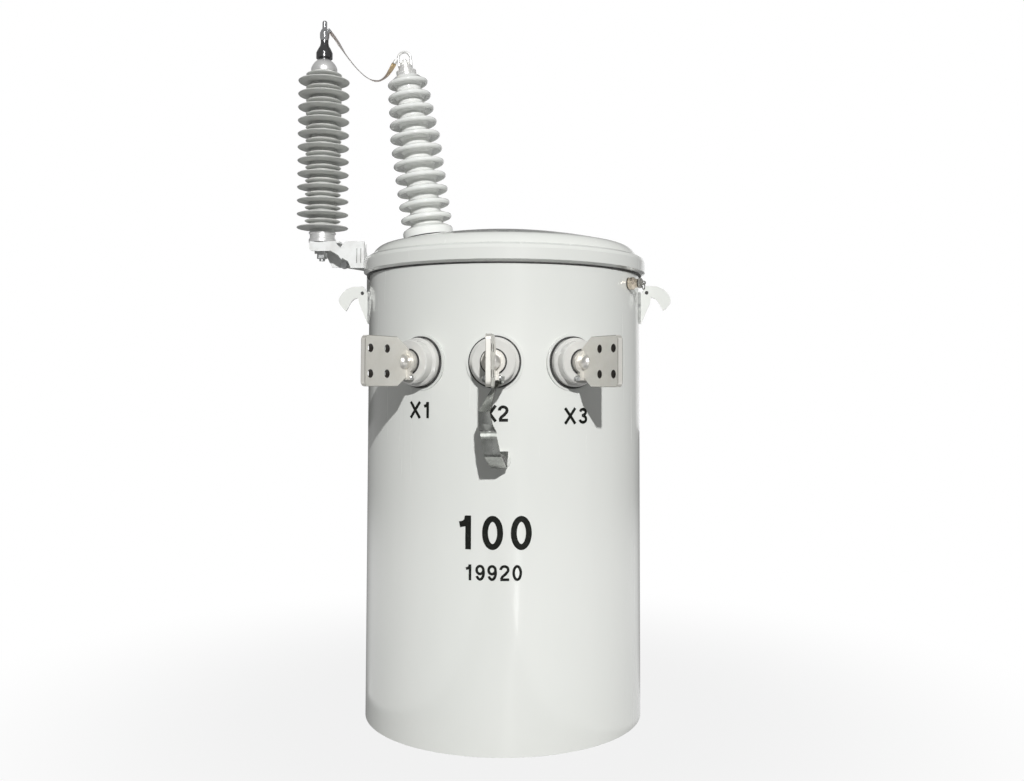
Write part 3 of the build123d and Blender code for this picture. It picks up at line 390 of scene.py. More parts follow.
def blade(name):
    """Tinned bronze, with painted shade in the four bolt holes, along the edges, at the corners and on the
    hub.
    """
    holes = mounts[f"{name}_spade_holes"]
    middle = Vector(holes["pos_m"])
    f = metal(f"Blade{name.upper()}", (0.84, 0.825, 0.775), (0.70, 0.675, 0.60), (0.3, 0.45), metallic=0.45)
    local = outward(LV_AZ[name], 1, 0)
    out = f.past(middle, local.col[2].xyz)
    level = f.math("ABSOLUTE", f.past(middle, UP))
    off = f.math("ABSOLUTE", f.past(middle, local.col[0].xyz))
    # painted shade in a thin line along the edges of each face
    edge_shade = f.most(
        f.band(out, BLADE_END - EDGE_LINE, BLADE_END - EDGE_LINE / 2),
        f.band(level, BLADE_HALF - EDGE_LINE, BLADE_HALF - EDGE_LINE / 2),
    )
    edge_shade = f.times(edge_shade, f.band(off, BLADE_THICK / 2 - EDGE_LINE, BLADE_THICK / 2 - EDGE_LINE / 2))
    # painted shade at the corners of the outer end
    corner = f.times(
        f.band(out, BLADE_END - 4 * EDGE_LINE, BLADE_END - EDGE_LINE),
        f.band(level, BLADE_HALF - 5 * EDGE_LINE, BLADE_HALF - 2 * EDGE_LINE),
    )
    tone = f.mix(f.times(f.most(edge_shade, corner), 0.8), f.current("Base Color"), (0.24, 0.23, 0.20))
    # painted shade on the hub, where the metal mirrors the dark front
    hub_shade = f.times(
        f.band(out, -HUB_REACH - 0.002, -HUB_REACH + 0.002, 0.45, 0.0),
        f.band(off, BLADE_THICK / 2 + 0.0005, BLADE_THICK / 2 + 0.0015),
    )
    tone = f.mix(hub_shade, tone, (0.46, 0.44, 0.40))
    # painted shade in the bolt holes
    gaps = [f.math("SUBTRACT", f.math("ABSOLUTE", out), HOLE_HALF), f.math("SUBTRACT", level, HOLE_HALF)]
    squares = [f.math("POWER", gap, 2.0) for gap in gaps]
    far = f.math("SQRT", f.math("ADD", *squares))
    bore = holes["dims"]["hole_r_mm"] / 1000
    f.color(f.mix(f.band(far, bore + 0.0001, bore + 0.0006), (0.035, 0.03, 0.025), tone))
    return f.mat


def valve():
    """Tarnished brass with a nickelled cap, and painted shade where the valve meets the shell and in the
    groove round the cap.
    """
    f = metal("ValveBrass", (0.80, 0.71, 0.59), (0.50, 0.42, 0.33), (0.2, 0.3), metallic=0.85)
    out = f.past(at(VALVE_AZ, SHELL_R), at(VALVE_AZ, 1.0))
    soft = 0.001
    start, end = VALVE_GROOVE
    # painted shade at the valve's foot and in its groove
    foot_shade = f.band(out, VALVE_FOOT - soft, VALVE_FOOT, 1.0, 0.0)
    groove_shade = f.times(f.band(out, start, start + soft), f.band(out, end - soft, end, 1.0, 0.0))
    tone = f.mix(f.band(out, VALVE_CAP, VALVE_CAP + soft), f.current("Base Color"), (0.50, 0.49, 0.46))
    f.color(f.mix(f.most(foot_shade, groove_shade), tone, (0.05, 0.04, 0.03)))
    return f.mat


def strap():
    """Dark tinned copper; the steep bend below the marks is duller, with painted shade darkening it towards
    its folds.
    """
    tones = (0.38, 0.39, 0.37), (0.15, 0.16, 0.145)
    f = metal("TinnedStrap", *tones, (0.22, 0.3), grain=(14, 14, 6), dull=0.9)
    off = f.math("ABSOLUTE", f.past(BEND_Z * UP, UP))
    bend = f.band(off, BEND_HALF, BEND_HALF + 0.0006, 1.0, 0.0)
    folds = f.band(off, 0.0016, BEND_HALF)
    # painted shade darkening the steep bend towards its folds, which shapes its highlight
    f.color(f.mix(f.times(bend, f.times(folds, 0.55)), f.current("Base Color"), (0.10, 0.105, 0.095)))
    duller = f.times(bend, f.band(folds, 0.0, 1.0, 0.24, 0.55))
    f.roughness(f.math("ADD", f.current("Roughness"), duller))
    return f.mat


def rubber():
    """Black gasket rubber with a dusty bloom."""
    f = Finish("GasketRubber", (0.03, 0.03, 0.03), 0.6)
    f.color(f.mix(f.band(f.noise(90, 5), 0.4, 0.75), (0.022, 0.022, 0.022), (0.085, 0.083, 0.078)))
    f.roughness(f.band(f.noise(60, 4), 0.3, 0.7, 0.5, 0.75))
    f.bump(f.noise(500, 3), 0.0001, 0.4)
    return f.mat


def weld_shade():
    """Weld bead in dark grey, patchy at random: painted shade, as the real bead wears the tank's paint."""
    f = Finish("WeldBead", (0.34, 0.35, 0.34), 0.4, Coat_Weight=0.2)
    f.color(f.mix(f.band(f.noise(70, 5), 0.35, 0.65), (0.20, 0.205, 0.20), (0.52, 0.53, 0.51)))
    f.roughness(f.band(f.noise(60, 3), 0.3, 0.7, 0.3, 0.5))
    f.bump(f.noise(260, 2), 0.0003, 0.5)
    return f.mat


def ink():
    """Black stencil paint, satin, a little thin in places."""
    f = Finish("MarkingPaint", (0.012, 0.012, 0.011), 0.35, Specular_IOR_Level=0.15)
    f.color(f.mix(f.band(f.noise(160, 5), 0.55, 0.8), (0.008, 0.009, 0.007), (0.035, 0.035, 0.032)))
    f.roughness(f.band(f.noise(90, 3), 0.3, 0.7, 0.28, 0.45))
    f.bump(f.noise(600, 2), 0.00008, 0.3)
    return f.mat


def braid():
    """Flat tinned copper braid: plaited wires, brown at both ends and brassy at the very last."""
    f = Finish("LeadBraid", (0.55, 0.50, 0.47), 0.4, Metallic=0.75)
    split = f.add("ShaderNodeSeparateXYZ")
    f.link(f.add("ShaderNodeUVMap", uv_map="Along").outputs[0], split.inputs[0])
    share = split.outputs["Y"]
    across = f.times(split.outputs["X"], 38.0)  # radians of the plait over the width
    along = f.times(share, 620.0)  # and over the length
    one = f.math("SINE", f.math("ADD", across, along))
    two = f.math("SINE", f.math("SUBTRACT", along, across))
    weave = f.most(one, two)
    brown = f.most(f.band(share, 0.60, 0.86), f.band(share, 0.0, 0.2, 0.75, 0.0))
    grey = f.mix(f.noise(80, 4), (0.74, 0.71, 0.69), (0.56, 0.52, 0.50))
    worn = f.mix(brown, grey, (0.40, 0.33, 0.29))
    f.color(f.mix(f.band(share, 0.82, 0.97), worn, (0.62, 0.47, 0.27)))
    f.roughness(f.band(weave, -0.5, 1.0, 0.55, 0.33))
    f.bump(weave, 0.0005, 0.8)
    return f.mat


TANK = tank_paint()
STEEL = metal("ZincSteel", (0.62, 0.63, 0.63), (0.42, 0.42, 0.41), (0.25, 0.42)).mat
DARK_STEEL = metal("DarkSteel", (0.34, 0.34, 0.33), (0.16, 0.16, 0.15), (0.22, 0.38)).mat
# plating darkened as painted reflection: it stands in for the dark surroundings that the arrester's
# terminal mirrors
DARKENED_PLATING = metal("BlackedSteel", (0.20, 0.20, 0.205), (0.10, 0.10, 0.10), (0.1, 0.22)).mat
IRON = metal("CoreIron", (0.25, 0.25, 0.26), (0.15, 0.14, 0.14), (0.45, 0.6)).mat
PLATED = metal("BrightPlating", (0.72, 0.73, 0.74), (0.50, 0.50, 0.50), (0.07, 0.16), dull=0.25).mat
STUD = metal("StudPlating", (0.82, 0.80, 0.76), (0.60, 0.58, 0.53), (0.3, 0.4), metallic=0.85).mat
CAST = metal("PolishedCasting", (0.88, 0.88, 0.87), (0.70, 0.70, 0.69), (0.3, 0.4), metallic=0.7).mat
PALE = metal("PaleCasting", (0.86, 0.86, 0.84), (0.70, 0.69, 0.66), (0.2, 0.32), metallic=0.45).mat
RUBBER = rubber()
SHADED_WELD = weld_shade()
INK = ink()
BRAID = braid()

SLOT_FINISH = {
    "tank_paint": TANK,
    "bracket_paint": bracket_paint(),
    "hardware_steel": STEEL,
    "core_iron": IRON,
    "hv_glaze": hv_glaze(),
    "lv_glaze": lv_glaze(),
    "arrester_polymer": polymer(),
    "cast_aluminium": CAST,
    "plated_terminal": PLATED,
    "tinned_bronze": STUD,
    "tinned_strap": strap(),
    "lead_braid": BRAID,
    "gasket_rubber": RUBBER,
    "valve_brass": valve(),
}
NODE_FINISH = {
    "hv_terminal": PALE,
    "hv_eye": PALE,
    "arrester_terminal": DARKENED_PLATING,
    "relief_ring": DARK_STEEL,
}
NODE_FINISH.update({f"{name}_spade": blade(name) for name in LV_AZ})


def dress_frame():
    """Each CAD node gets its own finish, or else that of its material slot."""
    slots = {s["node"]: s["material_slot"] for s in frame["record"]["subparts"]}
    for name, obj in nodes.items():
        obj.data.materials.clear()
        obj.data.materials.append(NODE_FINISH.get(name) or SLOT_FINISH[slots[name]])


dress_frame()

# ---------------------------------------------------------------- braided lead
# the route, from the arrester's clamp to the bushing's eye, as in the part's source
LEAD = (
    (-0.3735, 0, 1.4115),
    (-0.3620, 0, 1.3980),
    (-0.3485, 0, 1.3755),
    (-0.3310, 0, 1.3505),
    (-0.3110, 0, 1.3270),
    (-0.2900, 0, 1.3095),
    (-0.2700, 0, 1.3040),
    (-0.2550, 0, 1.3125),
    (-0.2445, 0, 1.3265),
    (-0.2360, 0, 1.3425),
)
BRAID_W = 0.0115
BRAID_T = 0.0018
BRAID_STEPS = 6  # across its width
BRAID_THIN = 0.75  # share of its thickness lost at the edges
# (share of the length, angle in degrees between the braid's width and front to back)
TWIST = ((0.0, 40.0), (0.12, 30.0), (0.32, 8.0), (0.6, 4.0), (0.74, 34.0), (1.0, 74.0))


def centreline(points):
    """Points on the smooth curve that the route's points steer, and its length."""
    data = bpy.data.curves.new("LeadRoute", "CURVE")
    data.dimensions = "3D"
    data.resolution_u = 12
    spline = data.splines.new("NURBS")
    spline.points.add(len(points) - 1)
    for p, co in zip(spline.points, points):
        p.co = (*co, 1)
    spline.order_u = 3
    spline.use_endpoint_u = True
    obj = placed("LeadRoute", data)
    bpy.context.view_layer.update()
    mesh = bpy.data.meshes.new_from_object(obj)
    line = [v.co.copy() for v in mesh.vertices]
    bpy.data.objects.remove(obj)
    bpy.data.meshes.remove(mesh)
    return line, sum((b - a).length for a, b in zip(line, line[1:]))


def twist_at(share):
    """The braid's twist at a share of its length, easing from one angle to the next."""
    for (a, low), (b, high) in zip(TWIST, TWIST[1:]):
        if share <= b:
            k = (share - a) / (b - a)
            k = k * k * (3 - 2 * k)
            return radians(low + (high - low) * k)
    return radians(TWIST[-1][1])


def jumper():
    """The flat braid along the lead's route, thinner at its edges."""
    line, length = centreline(LEAD)
    depth = Vector((0, 1, 0))
    verts, marks = [], []
    run = 0.0
    for i, p in enumerate(line):
        if i:
            run += (p - line[i - 1]).length
        along = (line[min(i + 1, len(line) - 1)] - line[max(i - 1, 0)]).normalized()
        a = twist_at(run / length)
        wide = cos(a) * depth + sin(a) * along.cross(depth)
        thin = along.cross(wide)
        for face in (1, -1):
            for k in range(BRAID_STEPS + 1):
                u = (2 * k / BRAID_STEPS - 1) * face
                bulge = BRAID_T / 2 * (1 - BRAID_THIN * u**4) * face
                verts.append(p + wide * (u * BRAID_W / 2) + thin * bulge)
                marks.append((0.5 + u / 2, run / length))
    obj = piece("JumperBraid", verts, skin(len(line), 2 * (BRAID_STEPS + 1)), BRAID)
    layer = obj.data.uv_layers.new(name="Along")
    for corner in obj.data.loops:
        layer.data[corner.index].uv = marks[corner.vertex_index]
    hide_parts("jumper_lead")


jumper()

# ---------------------------------------------------------------- lettering
PAINT_GAP = 0.0004  # lettering stands this far proud of the paint
STROKE = 0.17  # a stroke's width, where a character is 1 high
HALF = STROKE / 2
MITRE_LIMIT = 0.5  # a mitred corner is at most 1 / this times as wide
CURVE_STEP = 0.06  # a stroke is cut this often across, to follow the shell


def ellipse(cx, cy, rx, ry, start, end, steps):
    """Points on an ellipse from one angle to another, in degrees."""
    out = []
    for i in range(steps + 1):
        a = radians(start + (end - start) * i / steps)
        out.append((cx + rx * cos(a), cy + ry * sin(a)))
    return out


# each character: its width, and its strokes' centrelines
GLYPHS = {
    "0": (0.62, [ellipse(0.31, 0.5, 0.31 - HALF, 0.5 - HALF, 0, 360, 40)]),
    "1": (0.52, [[(0.33, 0.0), (0.33, 1.0)], [(0.06, 0.73), (0.2, 0.76), (0.29, 0.84), (0.31, 0.98)]]),
    "2": (
        0.66,
        [
            ellipse(0.32, 0.70, 0.235, 0.30 - HALF, 182, -30, 22)
            + [(0.40, 0.44), (0.20, 0.27), (0.115, HALF + 0.02)],
            [(0.06, HALF), (0.62, HALF)],
        ],
    ),
    "3": (
        0.66,
        [
            ellipse(0.31, 0.735, 0.215, 0.265 - HALF, 170, -82, 20),
            ellipse(0.31, 0.285, 0.245, 0.285 - HALF, 82, -172, 22),
            [(0.22, 0.52), (0.34, 0.52)],
        ],
    ),
    "9": (
        0.61,
        [
            ellipse(0.30, 0.67, 0.215, 0.33 - HALF, 0, 360, 36),
            ellipse(0.30, 0.5, 0.23, 0.5 - HALF, 22, -150, 26),
        ],
    ),
    "X": (0.92, [[(0.09, 0.0), (0.83, 1.0)], [(0.83, 0.0), (0.09, 1.0)]]),
}


def stroke(points, width):
    """A flat ribbon along a centreline, with mitred corners and square ends."""
    verts = []
    count = len(points)
    closed = (Vector(points[0]) - Vector(points[-1])).length < 1e-6
    for i, p in enumerate(points):
        before = points[i - 1] if i else (points[-2] if closed else None)
        after = points[i + 1] if i + 1 < count else (points[1] if closed else None)
        here = Vector(p)
        a = (here - Vector(before)).normalized() if before else (Vector(after) - here).normalized()
        b = (Vector(after) - here).normalized() if after else a
        mid = (a + b).normalized()
        side = Vector((-mid.y, mid.x)) * (width / 2 / max(MITRE_LIMIT, mid.dot(a)))
        verts += [here + side, here - side]
    faces = [(2 * i, 2 * i + 1, 2 * i + 3, 2 * i + 2) for i in range(count - 1)]
    return verts, faces


def cut(line):
    """The points of a centreline, with more on long runs across."""
    fine = []
    for p, q in zip(line, line[1:]):
        cuts = max(1, int(abs(q[0] - p[0]) / CURVE_STEP))
        for k in range(cuts):
            fine.append((p[0] + (q[0] - p[0]) * k / cuts, p[1] + (q[1] - p[1]) * k / cuts))
    return fine + [line[-1]]


def marking(name, text, az, z, height, gap, weight=1.0):
    """Characters painted on the shell, centred at an azimuth, standing on z."""
    widths = [GLYPHS[c][0] for c in text]
    pen = -(sum(widths) + gap * (len(text) - 1)) / 2
    verts, faces = [], []
    for c, width in zip(text, widths):
        for line in GLYPHS[c][1]:
            v, f = stroke(cut(line), STROKE * weight)
            base = len(verts)
            proud = PAINT_GAP * (1 + 0.05 * (base % 7))  # keeps crossing strokes apart
            for p in v:
                turn = degrees((pen + p.x) * height / SHELL_R)
                verts.append(at(az + turn, SHELL_R + proud, 0, z + p.y * height))
            faces += [tuple(i + base for i in face) for face in f]
        pen += width + gap
    piece(name, verts, faces, INK, smooth=False)


marking("MarkX1", "X1", -30.5, 0.6008, 0.0300, gap=0.17, weight=1.1)
marking("MarkX2", "X2", 0.3, 0.5964, 0.0290, gap=0.06, weight=1.1)
marking("MarkX3", "X3", 31.7, 0.5916, 0.0288, gap=0.19, weight=1.1)
marking("MarkRating", "100", 0.0, 0.3666, 0.0606, gap=0.235, weight=1.04)
marking("MarkVoltage", "19920", -0.3, 0.3115, 0.0284, gap=0.155)

# ---------------------------------------------------------------- fasteners, seams and welds
CLAMP_RHO = 0.3227  # the clamp screws' distance from the tank's axis
CLAMP_DROP = 0.0285  # and how far they lie below the studs' axes
EAR_FACE = 0.011  # from a clamp's middle to the outer face of each ear
STRAP_SEAT = 0.0020  # the ground bolt's washer lies this far off the boss, on the strap
STRAP_BOLT = (0.0112, 0.5262)  # the ground bolt, right of the middle and up
BRACKET_BOLT = (-0.3425, 0.022, 0.9155)  # on the front face of the bracket's rear flange
# the bracket's two dark strips, painted shade of narrow slits
SLIT_X = (-0.3072, -0.2988)
SLIT_Z = (0.9150, 0.9302, 0.9455)
SLIT_R = 0.0007
LUG_HOLE = (0.2949, 0.851)  # rho and height of the lifting plates' small holes
GAP_SEAT = 0.0011  # middle of the black ring, the gasket's edge and painted shade of the gap, proud of the shell
GAP_R = 0.0017  # half the edge's thickness, at the front and the back
GAP_SIDE = 0.0016  # more at both sides
GAP_END_AZ = -92.0  # where its painted shade bulges most, at the left
GAP_END = 0.003  # more there
BEAD_WOBBLE = 0.12
BOSS_BEAD = (0.0008, 0.0018)  # a weld bead's middle, proud of the shell, and its radius
LUG_BEAD = (0.0016, 0.0022)
LUG_HALF = 0.0162  # from a lifting plate's middle to its weld on each side
LUG_ENDS = (0.002, 0.014)  # its weld stops this far above the plate's foot and below its top
HANGER_BEAD = (0.0012, 0.0024)
HANGER_HALF = 0.0605  # from a hanger's middle to the foot of each of its sides
HANGER_RISE = (-0.058, 0.040)  # its weld's ends, from its slot's middle


def bolt(m, across, height, washer=0.0, washer_t=0.0016):
    """Hexagon head standing on a surface, or on a washer where its radius is given."""
    parts = []
    if washer:
        parts.append(lathe(m, [(washer, 0), (washer, washer_t * 0.8), (washer * 0.96, washer_t)], 40))
    up = m @ Matrix.Translation((0, 0, washer_t if washer else 0))
    parts.append(hexagon(up, across, height))
    r = across / 2
    top = up @ Matrix.Translation((0, 0, height))
    crown = [(r * 0.93, -height * 0.1), (r * 0.90, height * 0.03), (r * 0.5, height * 0.05)]
    parts.append(lathe(top, crown, 40))
    return joined(parts)


def lv_hardware():
    """On each low-voltage terminal: the screw through the clamp's ears, and its nut."""
    for name, az in LV_AZ.items():
        middle = outward(az, CLAMP_RHO, LV_Z - CLAMP_DROP)
        out, right = middle.col[2].xyz, middle.col[0].xyz
        screw = axes(middle.translation + right * EAR_FACE, right, out)
        nut = axes(middle.translation - right * EAR_FACE, -right, out)
        head = lathe(screw, [(0.0042, 0), (0.0042, 0.0032), (0.0035, 0.0042), (0.0020, 0.0044)], 32)
        tip = lathe(nut, [(0.0029, 0.004), (0.0029, 0.0078), (0.0022, 0.0085)], 24)
        parts = joined([head, bolt(nut, across=0.0095, height=0.0045), tip])
        piece(f"{name.upper()}ClampScrew", *parts, STEEL, smooth=False)


def ground_bolt():
    """The bolt that holds the strap's end to the tank's boss."""
    right, z = STRAP_BOLT
    place = outward(0, STRAP_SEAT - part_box("ground_boss")[0].y, z, right)
    parts = bolt(place, across=0.019, height=0.0085, washer=0.0125, washer_t=0.0028)
    piece("GroundBolt", *parts, DARK_STEEL, smooth=False)


def bracket_bolt():
    """The bolt through the rear flange of the arrester's bracket."""
    place = axes(BRACKET_BOLT, (0, -1, 0), (1, 0, 0))
    parts = bolt(place, across=0.013, height=0.006, washer=0.0085)
    piece("BracketBolt", *parts, STEEL, smooth=False)


def bracket_slit_shade():
    """Two thin dark strips on the bracket's front flange: painted shade of two narrow slits."""
    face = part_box("arrester_bracket")[0].y + 0.0001
    parts = [tube([(x, face, z) for z in SLIT_Z], SLIT_R) for x in SLIT_X]
    piece("BracketSeams", *joined(parts), DARK_STEEL)


def band_gap():
    """A black ring between the band's lower lip and the shell: the gasket's edge, and painted shade of the
    gap there, bulging more at both sides.
    """
    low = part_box("cover_band")[0].z + 0.0002
    turns = 180
    verts = []
    for k in range(turns):
        az = 360 * k / turns
        side = abs(sin(radians(az))) ** 6
        end = max(0.0, cos(radians(az - GAP_END_AZ))) ** 40
        radius = GAP_R + GAP_SIDE * side + GAP_END * end
        for j in range(TUBE_SIDES):
            a = 2 * pi * j / TUBE_SIDES
            verts.append(at(az, SHELL_R + GAP_SEAT + radius * cos(a), 0, low + radius * sin(a)))
    # The sections run the other way round here, so each face is turned over from its first corner.
    faces = [(a, d, c, b) for a, b, c, d in skin(turns, TUBE_SIDES, closed=True)]
    piece("BandGap", verts, faces, RUBBER)


def upright_beads(az, half, low, high, steps, proud, radius):
    """Two weld beads up the shell, half a width to each side of an azimuth."""
    beads = []
    for side in (-1, 1):
        turn = az + side * degrees(half / SHELL_R)
        heights = [low + (high - low) * k / steps for k in range(steps + 1)]
        line = [at(turn, SHELL_R + proud, 0, z) for z in heights]
        beads.append(tube(line, radius, wobble=BEAD_WOBBLE))
    return joined(beads)


def welds():
    """Weld beads at the feet of the lifting plates and the hangers, and round the ground boss."""
    for name, az in LUG_AZ.items():
        low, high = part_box(f"lifting_lug_{name.lower()}")
        parts = upright_beads(az, LUG_HALF, low.z + LUG_ENDS[0], high.z - LUG_ENDS[1], 40, *LUG_BEAD)
        # the lifting plates' weld beads are dark grey as painted shade at their feet
        piece(f"LiftWeld{name}", *parts, SHADED_WELD)
    low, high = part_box("ground_boss")
    middle = (low + high) / 2
    proud, thick = BOSS_BEAD
    radius = (high.x - low.x) / 2 + 0.001  # just outside the boss
    ring = []
    for k in range(48):
        a = 2 * pi * k / 48
        turn = degrees((middle.x + radius * cos(a)) / SHELL_R)
        ring.append(at(turn, SHELL_R + proud, 0, middle.z + radius * sin(a)))
    piece("BossWeld", *tube(ring, thick, closed=True, wobble=BEAD_WOBBLE), TANK)
    for row in ("upper", "lower"):
        slot = mounts[f"{row}_pole_bolt_slot"]["pos_m"][2]
        low, high = (slot + rise for rise in HANGER_RISE)
        parts = upright_beads(180, HANGER_HALF, low, high, 60, *HANGER_BEAD)
        piece(f"HangerWeld{row.title()}", *parts, TANK)


def lift_hole_shade():
    """Black plugs in the small holes of the lifting plates, with a flange on each face: painted shade for
    the dark seen through the holes.
    """
    profile = [(0.0027, 0), (0.0027, 0.0041), (0.0036, 0.0042), (0.0034, 0.0050), (0.0018, 0.0053)]
    for name, az in LUG_AZ.items():
        middle = outward(az, *LUG_HOLE)
        out, right = middle.col[2].xyz, middle.col[0].xyz
        parts = [lathe(axes(middle.translation, right * face, out), profile, 28) for face in (1, -1)]
        piece(f"LiftHoleShade{name}", *joined(parts), RUBBER)


lv_hardware()
ground_bolt()
bracket_bolt()
bracket_slit_shade()
band_gap()
welds()
lift_hole_shade()

# ---------------------------------------------------------------- light, floor and camera
# An EDGE pair is where a soft change starts and ends, and what follows it are the values there.
KEY_AZ, KEY_EL = 9.2, 24.0
KEY_STRENGTH = 2.98
KEY_DISC = 1.2  # degrees across, for fairly crisp shadows

ROOM_EDGE = (-0.6, 0.7)  # cosines from the back, between which the room's light changes
ROOM_FRONT = 0.16
ROOM_BACK = 0.78
WALL_AZ = 167.0  # middle of the white wall that glossy surfaces mirror
WALL_EDGE = (0.92, 0.99)  # cosines from its middle
DARK_AZ = 190.0  # middle of the dark stretch beside the wall
DARK_EDGE = (0.7, 0.95)
DARK = (0.3, 0.05)
WINDOW_EDGE = (0.12, 0.5)  # sines to each side of the key, where the window is full and ends
WINDOW_RISE_EDGE = (-0.3, 0.3)  # sines of height
WINDOW = (0.65, 0.25)

FLOOR_SIZE = 12.0  # from its middle to each side
FLOOR_Z = -0.0005
FLOOR_TONE = 0.25
FADE_EDGE = (0.35, 1.3)  # distances from the axis, over which the shadow fades to white
FADE = (0.85, 1.0)
SIDE_LEAN = 0.15  # what the paint mirrors of the floor pales sooner at the right than at the left
NEAR_Y = 0.05  # keeps the slope past the tank's side finite
BEHIND_EDGE = (0.2, 1.0)  # slopes past the tank's side
BEHIND = (0.1, 0.85)
FAR_EDGE = (1.5, 4.5)  # distances from the axis
FAR = (1.0, 0.2)
GLINT_LINES = ((-0.15, -0.014), (-0.34, -0.161))  # slope and offset of the lamp's near and far run
GLINT_WIDE_EDGE = (0.015, 0.065)  # slopes off those lines
GLINT_START = -0.2  # nothing of it lies behind this y
GLINT_FAR_EDGE = (0.8, 2.0)  # distances from the axis
GLINT = (5.0, 3.0)

CAMERA_AZ = 3.0
CAMERA_FAR = 2.126  # from the tank's axis
CAMERA_RIGHT = 0.0162  # to the right of the line to the axis
CAMERA_Z = 0.6674
CAMERA_PITCH = radians(2.64)
CAMERA_ROLL = radians(0.17)
CAMERA_LENS = 35.87
CAMERA_SHIFT = -0.054


def seen(w, rays):
    """1 for rays that show the background as it is: the camera's, and through glass."""
    return w.most(rays["Is Camera Ray"], rays["Is Transmission Ray"])


def set_world():
    """White behind the object; for its light a pale back and a dimmer front, with a window to mirror."""
    world = bpy.data.worlds.new("Studio")
    bpy.context.scene.world = world
    world.use_nodes = True
    w = Nodes(world.node_tree)
    place = w.add("ShaderNodeTexCoord").outputs["Generated"]
    rays = w.add("ShaderNodeLightPath").outputs
    room = w.ramp(w.along(place, (0, 1, 0)), *ROOM_EDGE, ROOM_FRONT, ROOM_BACK)
    wall = w.ramp(w.along(place, at(WALL_AZ, 1.0)), *WALL_EDGE, 0.0, 1.0)
    wall = w.most(wall, w.ramp(w.along(place, at(DARK_AZ, 1.0)), *DARK_EDGE, *DARK))
    key = at(KEY_AZ, 1.0)
    across = w.math("ABSOLUTE", w.along(place, (-key.y, key.x, 0)))
    strength = w.ramp(w.along(place, UP), *WINDOW_RISE_EDGE, *WINDOW)
    window = w.times(w.ramp(across, *WINDOW_EDGE, 1.0, 0.0), strength)
    window = w.times(window, w.math("GREATER_THAN", w.along(place, key), 0.0))
    mirrored = w.math("SUBTRACT", w.most(wall, window), room)
    lit = w.math("ADD", room, w.times(mirrored, rays["Is Glossy Ray"]))
    white = w.times(w.math("SUBTRACT", 1.0, lit), seen(w, rays))
    light = w.add("ShaderNodeBackground", Color=(1, 1, 1, 1))
    w.link(w.math("ADD", lit, white), light.inputs["Strength"])
    w.link(light.outputs[0], w.add("ShaderNodeOutputWorld").inputs[0])


def glint(w, x, y, far):
    """Strength of a narrow lamp along two lines on the floor in front, which the paint mirrors low down."""
    lines = [w.math("MULTIPLY_ADD", y, *line) for line in GLINT_LINES]
    off = w.math("ABSOLUTE", w.math("SUBTRACT", x, w.most(*lines)))
    lamp = w.ramp(w.math("DIVIDE", off, far), *GLINT_WIDE_EDGE, 1.0, 0.0)
    lamp = w.times(lamp, w.ramp(far, *GLINT_FAR_EDGE, *GLINT))
    return w.times(lamp, w.math("LESS_THAN", y, GLINT_START))


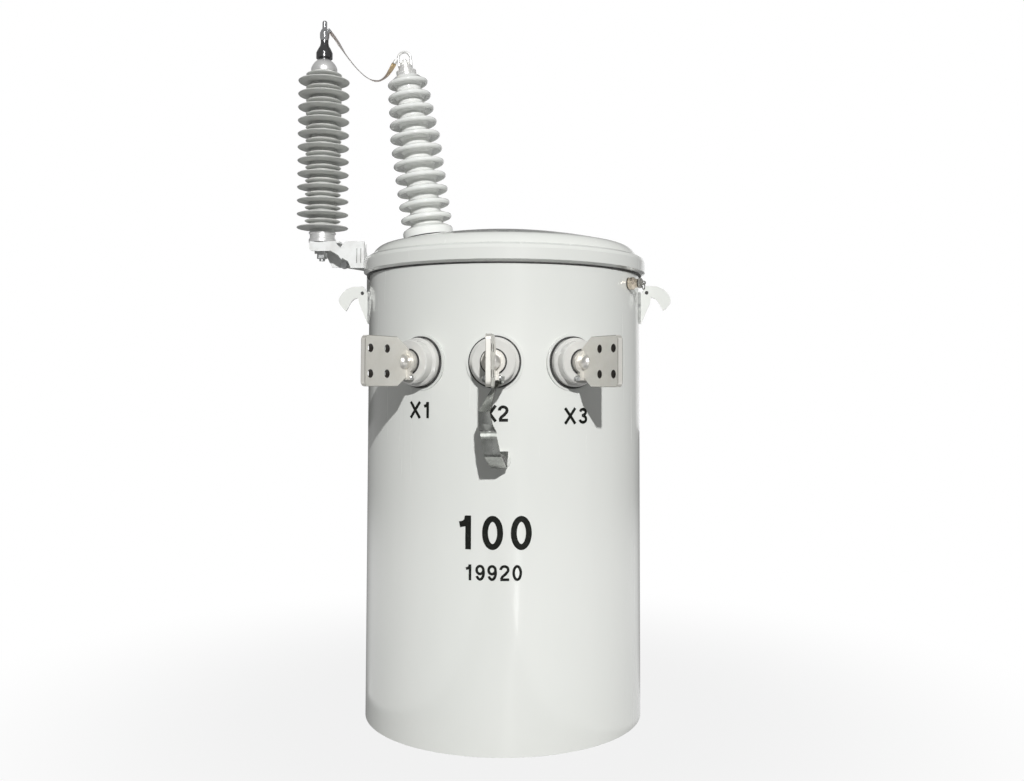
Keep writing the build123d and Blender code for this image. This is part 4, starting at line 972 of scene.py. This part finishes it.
def floor_white():
    """Pale where it carries the object's shadow, and glowing white further away."""
    mat = bpy.data.materials.new("FloorWhite")
    mat.use_nodes = True
    w = Nodes(mat.node_tree)
    place = w.add("ShaderNodeTexCoord").outputs["Object"]
    rays = w.add("ShaderNodeLightPath").outputs
    x, y = w.along(place, (1, 0, 0)), w.along(place, (0, 1, 0))
    far = w.math("SQRT", w.math("ADD", w.times(x, x), w.times(y, y)))
    beside = w.math("ADD", w.math("ABSOLUTE", x), w.times(x, SIDE_LEAN))
    slope = w.math("DIVIDE", w.math("SUBTRACT", beside, SHELL_R), w.most(y, NEAR_Y))
    mirrored = w.times(w.ramp(slope, *BEHIND_EDGE, *BEHIND), w.ramp(far, *FAR_EDGE, *FAR))
    white = w.most(seen(w, rays), w.times(rays["Is Glossy Ray"], mirrored))
    cloth = w.add("ShaderNodeBsdfDiffuse", Color=(FLOOR_TONE, FLOOR_TONE, FLOOR_TONE, 1))
    glow = w.add("ShaderNodeEmission", Color=(1, 1, 1, 1))
    lamp = w.times(glint(w, x, y, far), rays["Is Glossy Ray"])
    w.link(w.math("ADD", lamp, 1.0), glow.inputs["Strength"])
    mix = w.add("ShaderNodeMixShader")
    w.link(w.times(white, w.ramp(far, *FADE_EDGE, *FADE)), mix.inputs[0])
    w.link(cloth.outputs[0], mix.inputs[1])
    w.link(glow.outputs[0], mix.inputs[2])
    w.link(mix.outputs[0], w.add("ShaderNodeOutputMaterial").inputs[0])
    return mat


def floor():
    """A pale square under the object."""
    mesh = bpy.data.meshes.new("Floor")
    corners = [(FLOOR_SIZE * x, FLOOR_SIZE * y, FLOOR_Z) for x, y in ((-1, -1), (1, -1), (1, 1), (-1, 1))]
    mesh.from_pydata(corners, [], [(0, 1, 2, 3)])
    mesh.materials.append(floor_white())
    obj = placed("Floor", mesh)


def key_lamp():
    """The sun, a little right of the front."""
    data = bpy.data.lights.new("Key", "SUN")
    data.energy = KEY_STRENGTH
    data.angle = radians(KEY_DISC)
    towards = at(KEY_AZ, cos(radians(KEY_EL)), 0, sin(radians(KEY_EL)))
    obj = placed("Key", data)
    obj.location = 4 * towards
    obj.rotation_euler = (-towards).to_track_quat("-Z", "Y").to_euler()


def camera():
    """Pinhole view a little right of the front, looking up slightly from below the terminals."""
    back = at(CAMERA_AZ, 1.0)
    right = at(CAMERA_AZ, 0.0, 1.0)
    forward = cos(CAMERA_PITCH) * -back + sin(CAMERA_PITCH) * UP
    over = sin(CAMERA_PITCH) * back + cos(CAMERA_PITCH) * UP
    x = cos(CAMERA_ROLL) * right + sin(CAMERA_ROLL) * over
    y = cos(CAMERA_ROLL) * over - sin(CAMERA_ROLL) * right
    data = bpy.data.cameras.new("PhotoView")
    data.sensor_width = 36.0
    data.lens = CAMERA_LENS
    data.shift_y = CAMERA_SHIFT
    data.clip_start = 0.05
    view = Matrix((x, y, -forward)).transposed().to_4x4()
    view.translation = back * CAMERA_FAR + right * CAMERA_RIGHT + UP * CAMERA_Z
    obj = placed("PhotoView", data)
    obj.matrix_world = view
    bpy.context.scene.camera = obj


set_world()
floor()
key_lamp()
camera()
bpy.context.scene.view_settings.view_transform = "Standard"
